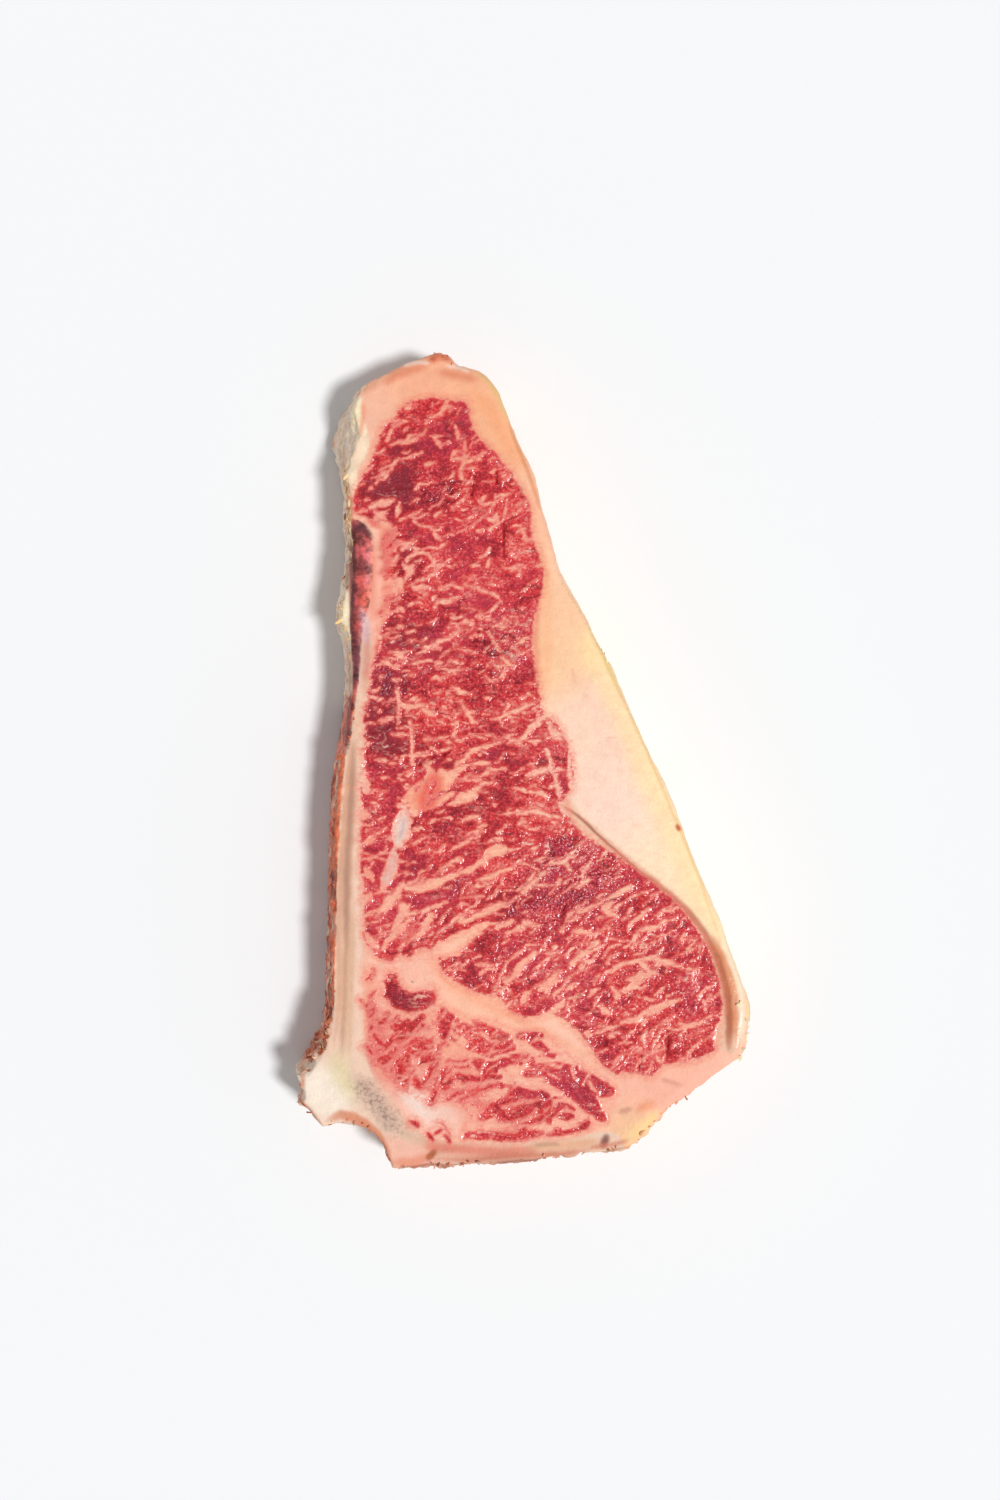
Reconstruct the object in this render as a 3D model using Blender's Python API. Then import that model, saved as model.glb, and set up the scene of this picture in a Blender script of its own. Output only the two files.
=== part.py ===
"""Raw bone-in sirloin steak lying on its cut face: bone, lean muscles, fat and the skins round them.

Every piece runs through the whole thickness. The origin is under the middle of the steak, +Y points
to its narrow end, +X to its fat edge and +Z up. Sizes are in metres.
"""

import math

import bmesh
import bpy
import numpy as np
from mathutils import Vector

# Driving dimensions.
LENGTH = 0.319  # narrow end to sawn foot
THICKNESS = 0.036
GAP = 0.0003  # left between two touching pieces
FOOT_RADIUS = 0.0025  # rounding where the side wall meets the underside
BULGE = 0.0006  # how far the side wall swells at half its height
SWELL = 0.0010  # rise and fall of the upper cut face
SWELL_ACROSS = 0.132  # its wave length across the steak
SWELL_ALONG = 0.214  # and along it
RIPPLE = 0.119  # wave length of a second, weaker rise and fall along the steak
RIPPLE_SHARE = 0.5  # its height beside the first
TAIL_DROP = 0.0018  # how much thinner the narrow end is

# The plan is drawn in the pixels of the reference picture, x to the right and y down. The picture
# looks straight down, so a pixel spans less of the upper face than of the underside.
EYE_PX = (500.0, 750.0)
EYE_HEIGHT = 0.846  # of the picture's eye over the underside
TIP_PX = 352.0
FOOT_PX = 1169.0
HIGH_LINE = 0.032  # height at which an upright wall's outline is seen
LOW_LINE = 0.004  # the same for a wall that slopes out to its foot
METRES_PER_PX_PER_METRE = LENGTH / (FOOT_PX - TIP_PX) / (EYE_HEIGHT - HIGH_LINE)

# Mesh resolution.
OUTLINE_STEP = 0.0052  # spacing of points round the side wall
CUT_STEP = 0.0042  # spacing of points on the cuts between pieces
WALL_RINGS = 3
FOOT_RINGS = 2
EDGE_RINGS = 3
FACE_GRID = 0.024  # spacing of the lines that let the upper face swell
CUTTER_OVERRUN = 0.01  # how far a cutter passes the faces it cuts
WELD = 0.00001  # points closer than this are one
CRUMB_SHARE = 0.02  # a loose body smaller than this share of its piece is dropped

# The side wall, anticlockwise from the nib at the narrow end. Each stretch has the slope of its wall
# (how far its top stands in from its foot), the radius of its top edge, the height at which its
# outline is seen, and that outline's points. Slope and height are for the stretch or for each point.
SIDE_WALL = (
    dict(name="narrow rim", slope=0.0, radius=0.0032, height=HIGH_LINE, points=(
        (438, 352), (424, 357), (405, 364), (386, 374), (370, 382))),
    dict(name="skin flap", slope=(0.0012, 0.0050, 0.0096, 0.0134, 0.0096), radius=0.0016,
         height=(HIGH_LINE, 0.024, 0.013, 0.007, LOW_LINE), points=(
        (358, 389), (346, 404), (339, 421), (333, 443), (337, 464))),
    dict(name="torn flank", slope=0.0034, radius=0.0012, height=LOW_LINE, points=(
        (344, 486), (347, 506), (346, 530), (349, 554), (343, 592), (339, 620), (346, 645),
        (348, 675))),
    dict(name="bone side", slope=0.0048, radius=0.0009, height=LOW_LINE, points=(
        (345, 705), (340, 740), (334, 780), (331, 840), (330, 890), (328, 960), (327, 1006),
        (319, 1034), (305, 1056))),
    dict(name="bone corner", slope=0.0026, radius=0.0009,
         height=(LOW_LINE, 0.008, 0.014, 0.020, 0.026), points=(
        (298, 1063), (302, 1074), (303, 1090), (297, 1100), (306, 1109))),
    dict(name="notch", slope=0.0014, radius=0.0009, height=HIGH_LINE, points=(
        (314, 1120), (322, 1129), (336, 1124), (352, 1126), (367, 1130), (380, 1143), (386, 1158),
        (392, 1168))),
    dict(name="sawn foot", slope=0.0, radius=0.0010, height=HIGH_LINE, points=(
        (408, 1166), (440, 1165), (480, 1161), (520, 1161), (556, 1155), (590, 1152), (616, 1151))),
    dict(name="fat corner", slope=0.0, radius=0.0030, height=HIGH_LINE, points=(
        (634, 1144), (650, 1128), (669, 1107), (692, 1090), (716, 1072), (735, 1059))),
    dict(name="fat edge", slope=0.0, radius=0.0034, height=HIGH_LINE, points=(
        (744, 1049), (747, 1028), (749, 1006), (741, 984), (731, 955), (720, 922), (704, 886),
        (685, 838), (667, 790), (646, 748), (628, 708), (611, 668))),
    dict(name="fat facet", slope=0.0016, radius=0.0026, height=HIGH_LINE, points=(
        (597, 638), (584, 612), (571, 588), (560, 568))),
    dict(name="fat shoulder", slope=0.0, radius=0.0028, height=HIGH_LINE, points=(
        (550, 540), (541, 508), (533, 474), (520, 448), (507, 418), (498, 394))),
    dict(name="rim corner", slope=0.0, radius=0.0032, height=HIGH_LINE, points=(
        (486, 376), (470, 369), (456, 365), (450, 357))),
)

# Plans of the pieces. A plan may run past the outline, and over the pieces that come before it.
SKIN_FLAP = (
    (366, 378), (361, 396), (361, 410), (365, 424), (368, 438), (367, 450), (362, 460), (352, 468),
    (344, 478), (320, 474), (308, 438), (320, 396), (345, 374))
FLANK_RIM = (
    (356, 464), (357, 486), (353, 500), (350, 524), (352, 548), (352, 576), (350, 604), (350, 640),
    (352, 664), (352, 686), (348, 700), (320, 706), (318, 640), (322, 560), (322, 480), (338, 462))
DRY_MEMBRANE = (
    (345, 521), (358, 520), (367, 529), (372, 546), (372, 576), (369, 602), (363, 624), (360, 650),
    (358, 682), (354, 706), (351, 728), (347, 752), (330, 756), (328, 720), (338, 680), (338, 600),
    (336, 540))
SIDE_MEAT = (
    (352, 686), (350, 716), (346, 750), (342, 786), (339, 830), (336, 880), (335, 940), (333, 996),
    (329, 1022), (320, 1040), (309, 1056), (303, 1066), (280, 1066), (290, 1020), (306, 950),
    (306, 820), (318, 730), (338, 690))
BONE = (
    (366, 616), (371, 636), (370, 664), (367, 696), (363, 732), (361, 780), (359, 830), (362, 890),
    (363, 950), (364, 1010), (366, 1056), (374, 1078), (390, 1096), (402, 1116), (420, 1134),
    (448, 1143), (500, 1143), (556, 1141), (596, 1134), (618, 1136), (624, 1160), (610, 1186),
    (500, 1190), (380, 1196), (330, 1150), (280, 1130), (270, 1070), (300, 1000), (300, 800),
    (330, 700), (344, 640), (354, 614))
LOIN_EYE = (
    (433, 396), (452, 400), (468, 401), (471, 418), (480, 437), (493, 450), (508, 468), (520, 487),
    (530, 504), (531, 528), (538, 552), (544, 572), (541, 594), (534, 620), (532, 646), (537, 676),
    (541, 704), (545, 732), (552, 758), (560, 792), (567, 812), (580, 832), (602, 846), (626, 862),
    (652, 882), (676, 902), (696, 927), (710, 952), (718, 978), (723, 1006), (718, 1028), (716, 1048),
    (700, 1058), (678, 1063), (663, 1065), (653, 1077), (636, 1073), (616, 1074), (600, 1062),
    (586, 1040), (570, 1024), (552, 1013), (534, 1018), (514, 1014), (498, 998), (478, 993),
    (460, 984), (444, 974), (438, 958), (424, 948), (402, 957), (380, 958), (366, 940), (356, 900),
    (352, 850), (352, 780), (356, 720), (368, 676), (378, 650), (384, 620), (396, 592), (399, 556),
    (394, 526), (372, 518), (350, 512), (350, 494), (360, 478), (374, 454), (383, 424), (396, 416),
    (405, 402), (418, 399))
CAP_MUSCLE = (
    (535, 722), (549, 718), (558, 724), (565, 739), (571, 757), (573, 776), (569, 794), (560, 800),
    (550, 780), (540, 750))
SINEW = (
    (561, 798), (571, 800), (580, 814), (596, 828), (616, 846), (644, 869), (672, 892), (694, 914),
    (713, 938), (727, 963), (735, 990), (739, 1020), (738, 1048), (732, 1054), (722, 1050),
    (716, 1030), (716, 990), (704, 950), (680, 910), (640, 876), (600, 850), (570, 826))
CORNER_MUSCLE = (
    (388, 971), (396, 972), (400, 984), (410, 992), (424, 990), (435, 989), (437, 998), (430, 1007),
    (416, 1012), (402, 1012), (390, 1006), (384, 994), (383, 982))
LOWER_MUSCLE = (
    (368, 1014), (384, 1012), (402, 1020), (420, 1012), (438, 1006), (456, 1014), (476, 1021),
    (496, 1024), (514, 1032), (540, 1034), (556, 1046), (572, 1060), (590, 1069), (606, 1082),
    (615, 1093), (608, 1108), (600, 1119), (586, 1130), (560, 1136), (524, 1139), (490, 1140),
    (464, 1134), (474, 1116), (458, 1102), (430, 1100), (404, 1088), (386, 1070), (372, 1044))
SEAM_FAT = (
    (340, 930), (366, 926), (400, 930), (440, 930), (520, 990), (600, 1040), (640, 1060), (668, 1068),
    (652, 1096), (630, 1122), (622, 1150), (560, 1170), (440, 1170), (350, 1100), (340, 1000))
FLANK_FAT = (
    (340, 500), (400, 505), (420, 560), (410, 620), (390, 680), (360, 700), (340, 700))

# Pieces in the order in which they are cut free. What is left over after them is the fat cap.
# Each has its plan, its colour as the eye sees it (red, green, blue out of 255) and its roughness.
PIECES = (
    ("skin_flap", SKIN_FLAP, (226, 213, 190), 0.50),
    ("flank_rim", FLANK_RIM, (228, 196, 160), 0.55),
    ("dry_membrane", DRY_MEMBRANE, (120, 48, 56), 0.42),
    ("side_meat", SIDE_MEAT, (176, 74, 56), 0.50),
    ("bone", BONE, (228, 193, 163), 0.48),
    ("loin_eye", LOIN_EYE, (190, 54, 62), 0.32),
    ("cap_muscle", CAP_MUSCLE, (206, 92, 92), 0.34),
    ("sinew", SINEW, (214, 164, 138), 0.40),
    ("corner_muscle", CORNER_MUSCLE, (170, 56, 62), 0.34),
    ("lower_muscle", LOWER_MUSCLE, (208, 104, 98), 0.36),
    ("seam_fat", SEAM_FAT, (252, 189, 164), 0.42),
    ("flank_fat", FLANK_FAT, (246, 180, 158), 0.42),
)
FAT_CAP = ("fat_cap", (250, 206, 176), 0.40)


def clear_scene():
    for obj in list(bpy.data.objects):
        bpy.data.objects.remove(obj, do_unlink=True)


def in_metres(points, height):
    """Points of the plan seen at one or more heights, from the picture's pixels to metres about the eye."""
    pixels = (np.array(points, float) - EYE_PX) * (1, -1)
    distance = EYE_HEIGHT - np.broadcast_to(height, len(points))
    return pixels * distance[:, None] * METRES_PER_PX_PER_METRE


def smooth_loop(corners, step):
    """A closed curve through the corners, with points at most a step apart, and each one's place.

    A place counts corners: 2.5 is halfway from the third corner to the fourth.
    """
    count = len(corners)
    points, places = [], []
    for i in range(count):
        before, here, after, beyond = (corners[(i + k) % count] for k in (-1, 0, 1, 2))
        pieces = max(1, math.ceil(np.linalg.norm(after - here) / step))
        for t in np.arange(pieces) / pieces:
            points.append(0.5 * (
                2 * here
                + (after - before) * t
                + (2 * before - 5 * here + 4 * after - beyond) * t**2
                + (3 * here - before - 3 * after + beyond) * t**3
            ))
            places.append(i + t)
    return np.array(points), np.array(places)


def outward_normals(loop):
    along = np.roll(loop, -1, axis=0) - np.roll(loop, 1, axis=0)
    along /= np.linalg.norm(along, axis=1, keepdims=True)
    normals = np.stack([along[:, 1], -along[:, 0]], axis=1)
    return normals if loop_area(loop) > 0 else -normals


def loop_area(loop):
    x, y = loop[:, 0], loop[:, 1]
    return 0.5 * np.sum(x * np.roll(y, -1) - y * np.roll(x, -1))


def wall_rings(slope, radius):
    """Height and inward distance of each ring of the side wall, from the underside up."""
    rings = []
    for angle in np.linspace(0, math.pi / 2, FOOT_RINGS + 1):
        rings.append((
            np.full_like(slope, FOOT_RADIUS * (1 - math.cos(angle))),
            np.full_like(slope, FOOT_RADIUS * (1 - math.sin(angle))),
        ))
    top = THICKNESS - radius
    for share in np.linspace(0, 1, WALL_RINGS + 2)[1:]:
        height = FOOT_RADIUS + share * (top - FOOT_RADIUS)
        rings.append((height, slope * share**1.5 - BULGE * math.sin(math.pi * share)))
    for angle in np.linspace(0, math.pi / 2, EDGE_RINGS + 1)[1:]:
        rings.append((top + radius * math.sin(angle), slope + radius * (1 - math.cos(angle))))
    return rings


def side_outline():
    """The outline's points in metres, and the slope and edge radius of the wall at each."""
    corners = np.concatenate([in_metres(s["points"], s["height"]) for s in SIDE_WALL])
    loop, places = smooth_loop(corners, OUTLINE_STEP)
    walls = []
    for key in ("slope", "radius"):
        values = np.concatenate([np.broadcast_to(s[key], len(s["points"])) for s in SIDE_WALL])
        walls.append(np.interp(places, np.arange(len(values) + 1), np.append(values, values[0])))
    return loop, *walls


def whole_steak():
    """The steak in one solid: its outline raised ring by ring into a side wall, and closed on top."""
    loop, slope, radius = side_outline()
    normals = outward_normals(loop)
    bm = bmesh.new()
    order = bm.verts.layers.int.new("order")
    underside = cap = bm.faces.new([bm.verts.new((x, y, 0)) for x, y in loop])
    for index, vert in enumerate(cap.verts):
        vert[order] = index
    for ring, (height, inward) in enumerate(wall_rings(slope, radius)):
        if ring > 0:
            below = cap
            raised = bmesh.ops.extrude_face_region(bm, geom=[below])["geom"]
            cap = next(item for item in raised if isinstance(item, bmesh.types.BMFace))
            if below is not underside:
                bmesh.ops.delete(bm, geom=[below], context="FACES_ONLY")
        plan = loop - normals * inward[:, None]
        for vert in cap.verts:
            index = vert[order]
            vert.co = (plan[index, 0], plan[index, 1], height[index])
    bmesh.ops.recalc_face_normals(bm, faces=bm.faces[:])
    return as_mesh("steak", bm)


def as_mesh(name, bm):
    mesh = bpy.data.meshes.new(name)
    bm.to_mesh(mesh)
    bm.free()
    return mesh


def prism(plan, grow):
    """A solid with upright walls over a plan, grown sideways, and taller than the steak."""
    loop, _ = smooth_loop(in_metres(plan, THICKNESS), CUT_STEP)
    loop = loop + outward_normals(loop) * grow
    bm = bmesh.new()
    face = bm.faces.new([bm.verts.new((x, y, -CUTTER_OVERRUN)) for x, y in loop])
    raised = bmesh.ops.extrude_face_region(bm, geom=[face])["geom"]
    tops = [item for item in raised if isinstance(item, bmesh.types.BMVert)]
    bmesh.ops.translate(bm, verts=tops, vec=(0, 0, THICKNESS + 2 * CUTTER_OVERRUN))
    bmesh.ops.recalc_face_normals(bm, faces=bm.faces[:])
    return as_mesh("cutter", bm)


def combined(mesh, cutter, operation):
    """The mesh after one Boolean with the cutter."""
    base = bpy.data.objects.new("base", mesh)
    tool = bpy.data.objects.new("tool", cutter)
    for obj in (base, tool):
        bpy.context.scene.collection.objects.link(obj)
    boolean = base.modifiers.new("cut", "BOOLEAN")
    boolean.operation = operation
    boolean.solver = "EXACT"
    boolean.object = tool
    graph = bpy.context.evaluated_depsgraph_get()
    result = bpy.data.meshes.new_from_object(base.evaluated_get(graph))
    for obj in (base, tool):
        bpy.data.objects.remove(obj, do_unlink=True)
    return result


def drop_crumbs(bm):
    """Removes the loose slivers that crossing cuts leave beside a piece."""
    bodies, left = [], set(bm.faces)
    while left:
        body, front = set(), [left.pop()]
        while front:
            face = front.pop()
            body.add(face)
            near = {other for edge in face.edges for other in edge.link_faces} & left
            left -= near
            front.extend(near)
        bodies.append(body)
    areas = [sum(face.calc_area() for face in body) for body in bodies]
    small = [face for body, area in zip(bodies, areas) if area < CRUMB_SHARE * max(areas) for face in body]
    bmesh.ops.delete(bm, geom=small, context="FACES")


def height_factor(x, y):
    """How the thickness varies over the plan: a slow swell, and a drop towards the narrow end."""
    swell = math.sin(math.tau * x / SWELL_ACROSS) * math.cos(math.tau * y / SWELL_ALONG)
    ripple = RIPPLE_SHARE * math.sin(math.tau * (y / RIPPLE + x / LENGTH))
    low = (1 - (swell + ripple) / (1 + RIPPLE_SHARE)) / 2
    tail = max(0.0, y / (LENGTH / 2)) ** 2
    return 1 - (SWELL * low + TAIL_DROP * tail) / THICKNESS


def let_swell(bm):
    """Cuts the faces along a grid and moves the upper ones up and down. The underside stays flat."""
    reach = int(LENGTH / FACE_GRID)
    for axis in (Vector((1, 0, 0)), Vector((0, 1, 0))):
        for k in range(-reach, reach + 1):
            parts = bm.verts[:] + bm.edges[:] + bm.faces[:]
            bmesh.ops.bisect_plane(bm, geom=parts, plane_co=axis * k * FACE_GRID, plane_no=axis)
    bmesh.ops.remove_doubles(bm, verts=bm.verts[:], dist=WELD)
    bmesh.ops.dissolve_degenerate(bm, edges=bm.edges[:], dist=WELD)
    bmesh.ops.triangulate(bm, faces=bm.faces[:], ngon_method="BEAUTY")
    for vert in bm.verts:
        vert.co.z *= height_factor(vert.co.x, vert.co.y)


def raw_surface(name, colour, roughness):
    """A moist surface of one colour, given as the eye sees it."""
    material = bpy.data.materials.new(name)
    material.use_nodes = True
    shader = material.node_tree.nodes["Principled BSDF"]
    linear = [((c / 255 + 0.055) / 1.055) ** 2.4 for c in colour]
    shader.inputs["Base Color"].default_value = (*linear, 1)
    shader.inputs["Roughness"].default_value = roughness
    shader.inputs["Metallic"].default_value = 0.0
    return material


def place_piece(name, mesh, colour, roughness, centre):
    """Links one finished piece, shifted so that the whole steak's box is centred."""
    bm = bmesh.new()
    bm.from_mesh(mesh)
    drop_crumbs(bm)
    let_swell(bm)
    bmesh.ops.translate(bm, verts=bm.verts[:], vec=(-centre[0], -centre[1], 0))
    piece = bpy.data.objects.new(name, as_mesh(name, bm))
    piece.data.materials.clear()
    piece.data.materials.append(raw_surface(name, colour, roughness))
    bpy.context.scene.collection.objects.link(piece)


def main():
    clear_scene()
    rest = whole_steak()
    plan = np.array([vert.co[:2] for vert in rest.vertices])
    centre = (plan.min(axis=0) + plan.max(axis=0)) / 2
    for name, outline, colour, roughness in PIECES:
        piece = combined(rest, prism(outline, 0.0), "INTERSECT")
        rest = combined(rest, prism(outline, GAP), "DIFFERENCE")
        place_piece(name, piece, colour, roughness, centre)
    name, colour, roughness = FAT_CAP
    place_piece(name, rest, colour, roughness, centre)


main()
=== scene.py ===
"""Looks of a raw bone-in steak: flesh, fat, bone and torn skins modelled round its solids.

One fine skin is drawn over all the solids, marked with the places of lean, fat, bone and skin, raised
and sunk where the real surface is, and then cut into one closed piece for each solid.
"""

import math

import bmesh
import bpy
import numpy as np
from bpy.props import FloatProperty, FloatVectorProperty, IntProperty, PointerProperty
from mathutils import Matrix, Vector
from mathutils.bvhtree import BVHTree
from mathutils.kdtree import KDTree


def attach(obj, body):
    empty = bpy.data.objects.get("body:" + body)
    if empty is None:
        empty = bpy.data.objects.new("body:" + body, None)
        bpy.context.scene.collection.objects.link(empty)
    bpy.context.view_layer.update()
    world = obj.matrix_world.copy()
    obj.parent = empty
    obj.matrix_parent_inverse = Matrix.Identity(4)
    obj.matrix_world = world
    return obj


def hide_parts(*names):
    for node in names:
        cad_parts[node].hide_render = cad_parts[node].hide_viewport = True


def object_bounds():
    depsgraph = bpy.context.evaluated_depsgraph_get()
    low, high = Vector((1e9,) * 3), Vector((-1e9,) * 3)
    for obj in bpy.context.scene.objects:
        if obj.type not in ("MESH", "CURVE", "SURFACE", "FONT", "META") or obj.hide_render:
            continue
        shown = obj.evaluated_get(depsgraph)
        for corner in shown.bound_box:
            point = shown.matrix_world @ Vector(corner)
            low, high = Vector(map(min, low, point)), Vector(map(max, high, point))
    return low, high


bl_info = {
    "name": "Raw bone-in steak",
    "version": (1, 0, 0),
    "blender": (4, 5, 0),
    "location": "3D View > Sidebar > Steak",
    "description": "Models the flesh, fat, bone and torn edges of a raw steak round its solids",
    "category": "Add Mesh",
}

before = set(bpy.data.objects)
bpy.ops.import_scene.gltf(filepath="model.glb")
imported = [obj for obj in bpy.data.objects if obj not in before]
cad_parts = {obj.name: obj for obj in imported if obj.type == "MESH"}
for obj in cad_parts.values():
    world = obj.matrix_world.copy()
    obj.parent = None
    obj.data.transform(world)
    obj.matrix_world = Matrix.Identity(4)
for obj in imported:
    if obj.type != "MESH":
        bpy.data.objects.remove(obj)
CAD_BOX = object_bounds()
THICKNESS = CAD_BOX[1][2]

# The eye of the picture, straight over the steak, and the spacing of its pixels at a metre's distance.
EYE = Vector((-0.00807, 0.00372, 0.846))
MIDDLE_PX = (500.0, 750.0)
METRES_PER_PX_PER_METRE = 4.7967e-4
LENS = 50.03
FILM_HEIGHT = 36.0
PX = (EYE.z - THICKNESS) * METRES_PER_PX_PER_METRE  # one pixel on the upper face

# The solids by kind, and the order in which the skin is cut into pieces. The last is what remains.
KINDS = {
    "lean": ("loin_eye", "cap_muscle", "corner_muscle", "lower_muscle"),
    "fat": ("seam_fat", "flank_fat", "fat_cap"),
    "bone": ("bone",),
    "skin": ("skin_flap", "flank_rim"),
    "membrane": ("dry_membrane",),
    "scraps": ("side_meat",),
    "sinew": ("sinew",),
}
NODES = tuple(node for nodes in KINDS.values() for node in nodes)
CUT_ORDER = (
    "skin_flap", "flank_rim", "dry_membrane", "side_meat", "bone", "loin_eye", "cap_muscle", "sinew",
    "corner_muscle", "lower_muscle", "flank_fat", "fat_cap", "seam_fat")

# Marks listed in the pixels of the picture: a width and the points of the run. First the fat
# between the fibres of the loin, from its small flecks to its broad streaks.
FINE_LOIN_FAT = (
    (6, (447, 401), (441, 413), (427, 421)), (5, (405, 409), (412, 404)), (6, (391, 431), (387, 441)),
    (5, (401, 445), (411, 441), (419, 438)), (8, (434, 436), (441, 446)), (7, (425, 466), (435, 463)),
    (5, (451, 459), (465, 460), (481, 458)), (6, (463, 460), (460, 471), (463, 479)),
    (4, (400, 461), (412, 456), (422, 452)), (3, (380, 471), (391, 464), (399, 460)),
    (3, (384, 479), (391, 467)), (4, (455, 425), (458, 438)), (4, (466, 441), (462, 454)),
    (9, (379, 515), (381, 523)), (4, (371, 507), (382, 502), (393, 500)), (7, (399, 504), (396, 517)),
    (4, (400, 521), (412, 516), (421, 509)), (5, (435, 516), (442, 511)),
    (4, (414, 521), (420, 526), (431, 526)), (9, (433, 532), (441, 538)), (9, (402, 543), (409, 549)),
    (4, (423, 548), (436, 547), (446, 544)), (3, (478, 500), (483, 505), (493, 502), (502, 499)),
    (4, (485, 518), (498, 520)), (8, (498, 522), (489, 530)), (4, (503, 520), (507, 500)),
    (5, (411, 573), (407, 561), (416, 551), (428, 554), (433, 566)), (5, (433, 558), (436, 573)),
    (8, (414, 587), (429, 588)), (5, (440, 587), (450, 583), (461, 587)),
    (7, (441, 603), (450, 600), (459, 596)), (4, (464, 583), (480, 590), (495, 594), (501, 601)),
    (5, (488, 567), (490, 559)), (4, (505, 568), (525, 566)), (4, (522, 529), (527, 538)),
    (5, (405, 633), (415, 631)), (4, (422, 646), (436, 643), (446, 640), (453, 636)),
    (5, (452, 637), (460, 631), (458, 625), (451, 624)), (7, (474, 635), (481, 634)),
    (4, (461, 650), (476, 653)), (5, (493, 641), (500, 650)), (5, (502, 656), (509, 665)),
    (4, (487, 633), (493, 639)), (5, (506, 668), (502, 677)), (4, (511, 647), (518, 652)),
    (4, (493, 663), (499, 669)), (4, (486, 676), (494, 682)), (4, (413, 664), (422, 662), (431, 660)),
    (4, (437, 669), (450, 670), (467, 669)), (6, (382, 661), (391, 666), (398, 668)),
    (6, (453, 686), (460, 692), (471, 694)), (6, (396, 688), (398, 704), (399, 722)),
    (9, (400, 705), (412, 706), (427, 705)), (12, (424, 709), (434, 714)),
    (8, (410, 723), (412, 746), (413, 765)), (8, (452, 725), (459, 722)),
    (4, (456, 727), (454, 736), (460, 741)), (5, (470, 734), (478, 738), (486, 740)),
    (5, (424, 739), (435, 739), (448, 737)), (6, (430, 746), (437, 750)),
    (5, (461, 701), (466, 713), (474, 722)), (7, (491, 720), (505, 715), (517, 711), (535, 701)),
    (6, (503, 713), (507, 704)), (12, (517, 744), (529, 730), (547, 716)),
    (4, (486, 736), (496, 738), (504, 741)),
)
LOIN_FAT = (
    (4, (454, 766), (469, 754), (482, 748), (501, 742)), (3, (483, 775), (494, 770), (504, 767)),
    (4, (466, 765), (480, 763), (489, 763)), (10, (425, 765), (432, 775), (421, 784)),
    (9, (431, 778), (446, 775), (458, 769), (467, 765)), (14, (405, 803), (415, 792), (421, 782)),
    (12, (428, 797), (440, 791), (452, 776)), (9, (399, 806), (420, 807), (436, 803), (452, 794)),
    (14, (454, 801), (467, 797), (480, 788)), (4, (457, 822), (468, 819), (478, 817)),
    (3, (478, 828), (487, 825)), (3, (510, 789), (525, 790), (539, 791)), (6, (537, 791), (546, 799)),
    (6, (546, 748), (552, 766), (556, 782), (561, 800)), (7, (526, 776), (540, 772), (550, 768)),
    (5, (518, 815), (530, 812), (545, 815), (561, 818)), (10, (559, 803), (568, 813)),
    (2, (499, 814), (513, 812), (526, 811)), (27, (403, 812), (402, 828), (399, 844)),
    (12, (410, 811), (418, 813)), (15, (394, 860), (390, 872), (382, 888)),
    (8, (377, 917), (388, 902), (405, 884)), (12, (408, 889), (422, 887), (440, 882), (458, 874)),
    (8, (456, 875), (480, 864), (502, 850)), (15, (487, 855), (505, 848)),
    (5, (480, 880), (497, 873), (512, 868)), (14, (380, 910), (388, 902), (399, 895)),
    (11, (402, 904), (405, 916)), (8, (382, 950), (396, 932), (410, 920)),
    (9, (408, 904), (400, 921), (391, 931)), (16, (442, 772), (428, 790), (414, 806)),
    (14, (455, 774), (440, 788)), (15, (402, 812), (404, 840)), (14, (394, 850), (390, 872)),
    (12, (412, 938), (425, 926), (432, 915)), (5, (418, 917), (430, 908), (446, 903)),
    (4, (441, 931), (455, 920), (470, 912)), (6, (455, 925), (480, 914), (502, 904)),
    (25, (432, 955), (452, 945), (474, 934)), (14, (462, 938), (488, 924)), (6, (496, 930), (512, 921)),
    (6, (521, 893), (533, 883), (546, 873)), (4, (557, 864), (566, 860), (576, 855)),
    (4, (577, 887), (589, 879)), (5, (567, 864), (572, 872)), (7, (608, 898), (620, 893), (631, 885)),
    (7, (602, 908), (612, 903)), (7, (605, 911), (617, 915)), (4, (577, 913), (590, 907), (602, 902)),
    (6, (630, 926), (638, 918), (648, 909)), (5, (513, 931), (524, 924), (540, 926)),
    (4, (590, 948), (598, 941)), (8, (576, 931), (586, 933)), (7, (570, 964), (580, 958), (599, 947)),
    (7, (644, 960), (655, 957), (668, 963), (682, 967)), (8, (641, 962), (648, 971)),
    (5, (604, 973), (615, 967), (630, 963), (643, 959)),
    (10, (624, 991), (632, 985), (642, 978), (654, 972)),
    (9, (505, 982), (515, 975), (523, 964), (535, 951)), (7, (538, 991), (546, 986), (559, 972)),
    (4, (553, 996), (560, 988), (567, 979)), (5, (565, 990), (575, 983)),
    (8, (534, 1023), (546, 1016), (556, 1008), (564, 1001)), (8, (601, 1006), (609, 1015)),
    (9, (621, 1023), (638, 1018), (652, 1010), (679, 1001)), (5, (646, 1030), (643, 1046)),
    (4, (597, 1033), (606, 1028), (616, 1025)), (7, (583, 1033), (591, 1034)),
    (5, (609, 1034), (618, 1032)), (3, (704, 1001), (707, 1013)), (5, (686, 970), (691, 970)),
    (4, (667, 1027), (678, 1029), (693, 1027)), (4, (640, 930), (655, 926), (668, 920)),
    (4, (560, 1030), (572, 1022)), (5, (655, 1056), (660, 1062)), (4, (503, 1009), (512, 1001)),
    (4, (520, 1005), (527, 998)), (6, (700, 1022), (704, 1020)), (4, (612, 987), (618, 992)),
    (5, (588, 997), (598, 990)),
)
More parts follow.
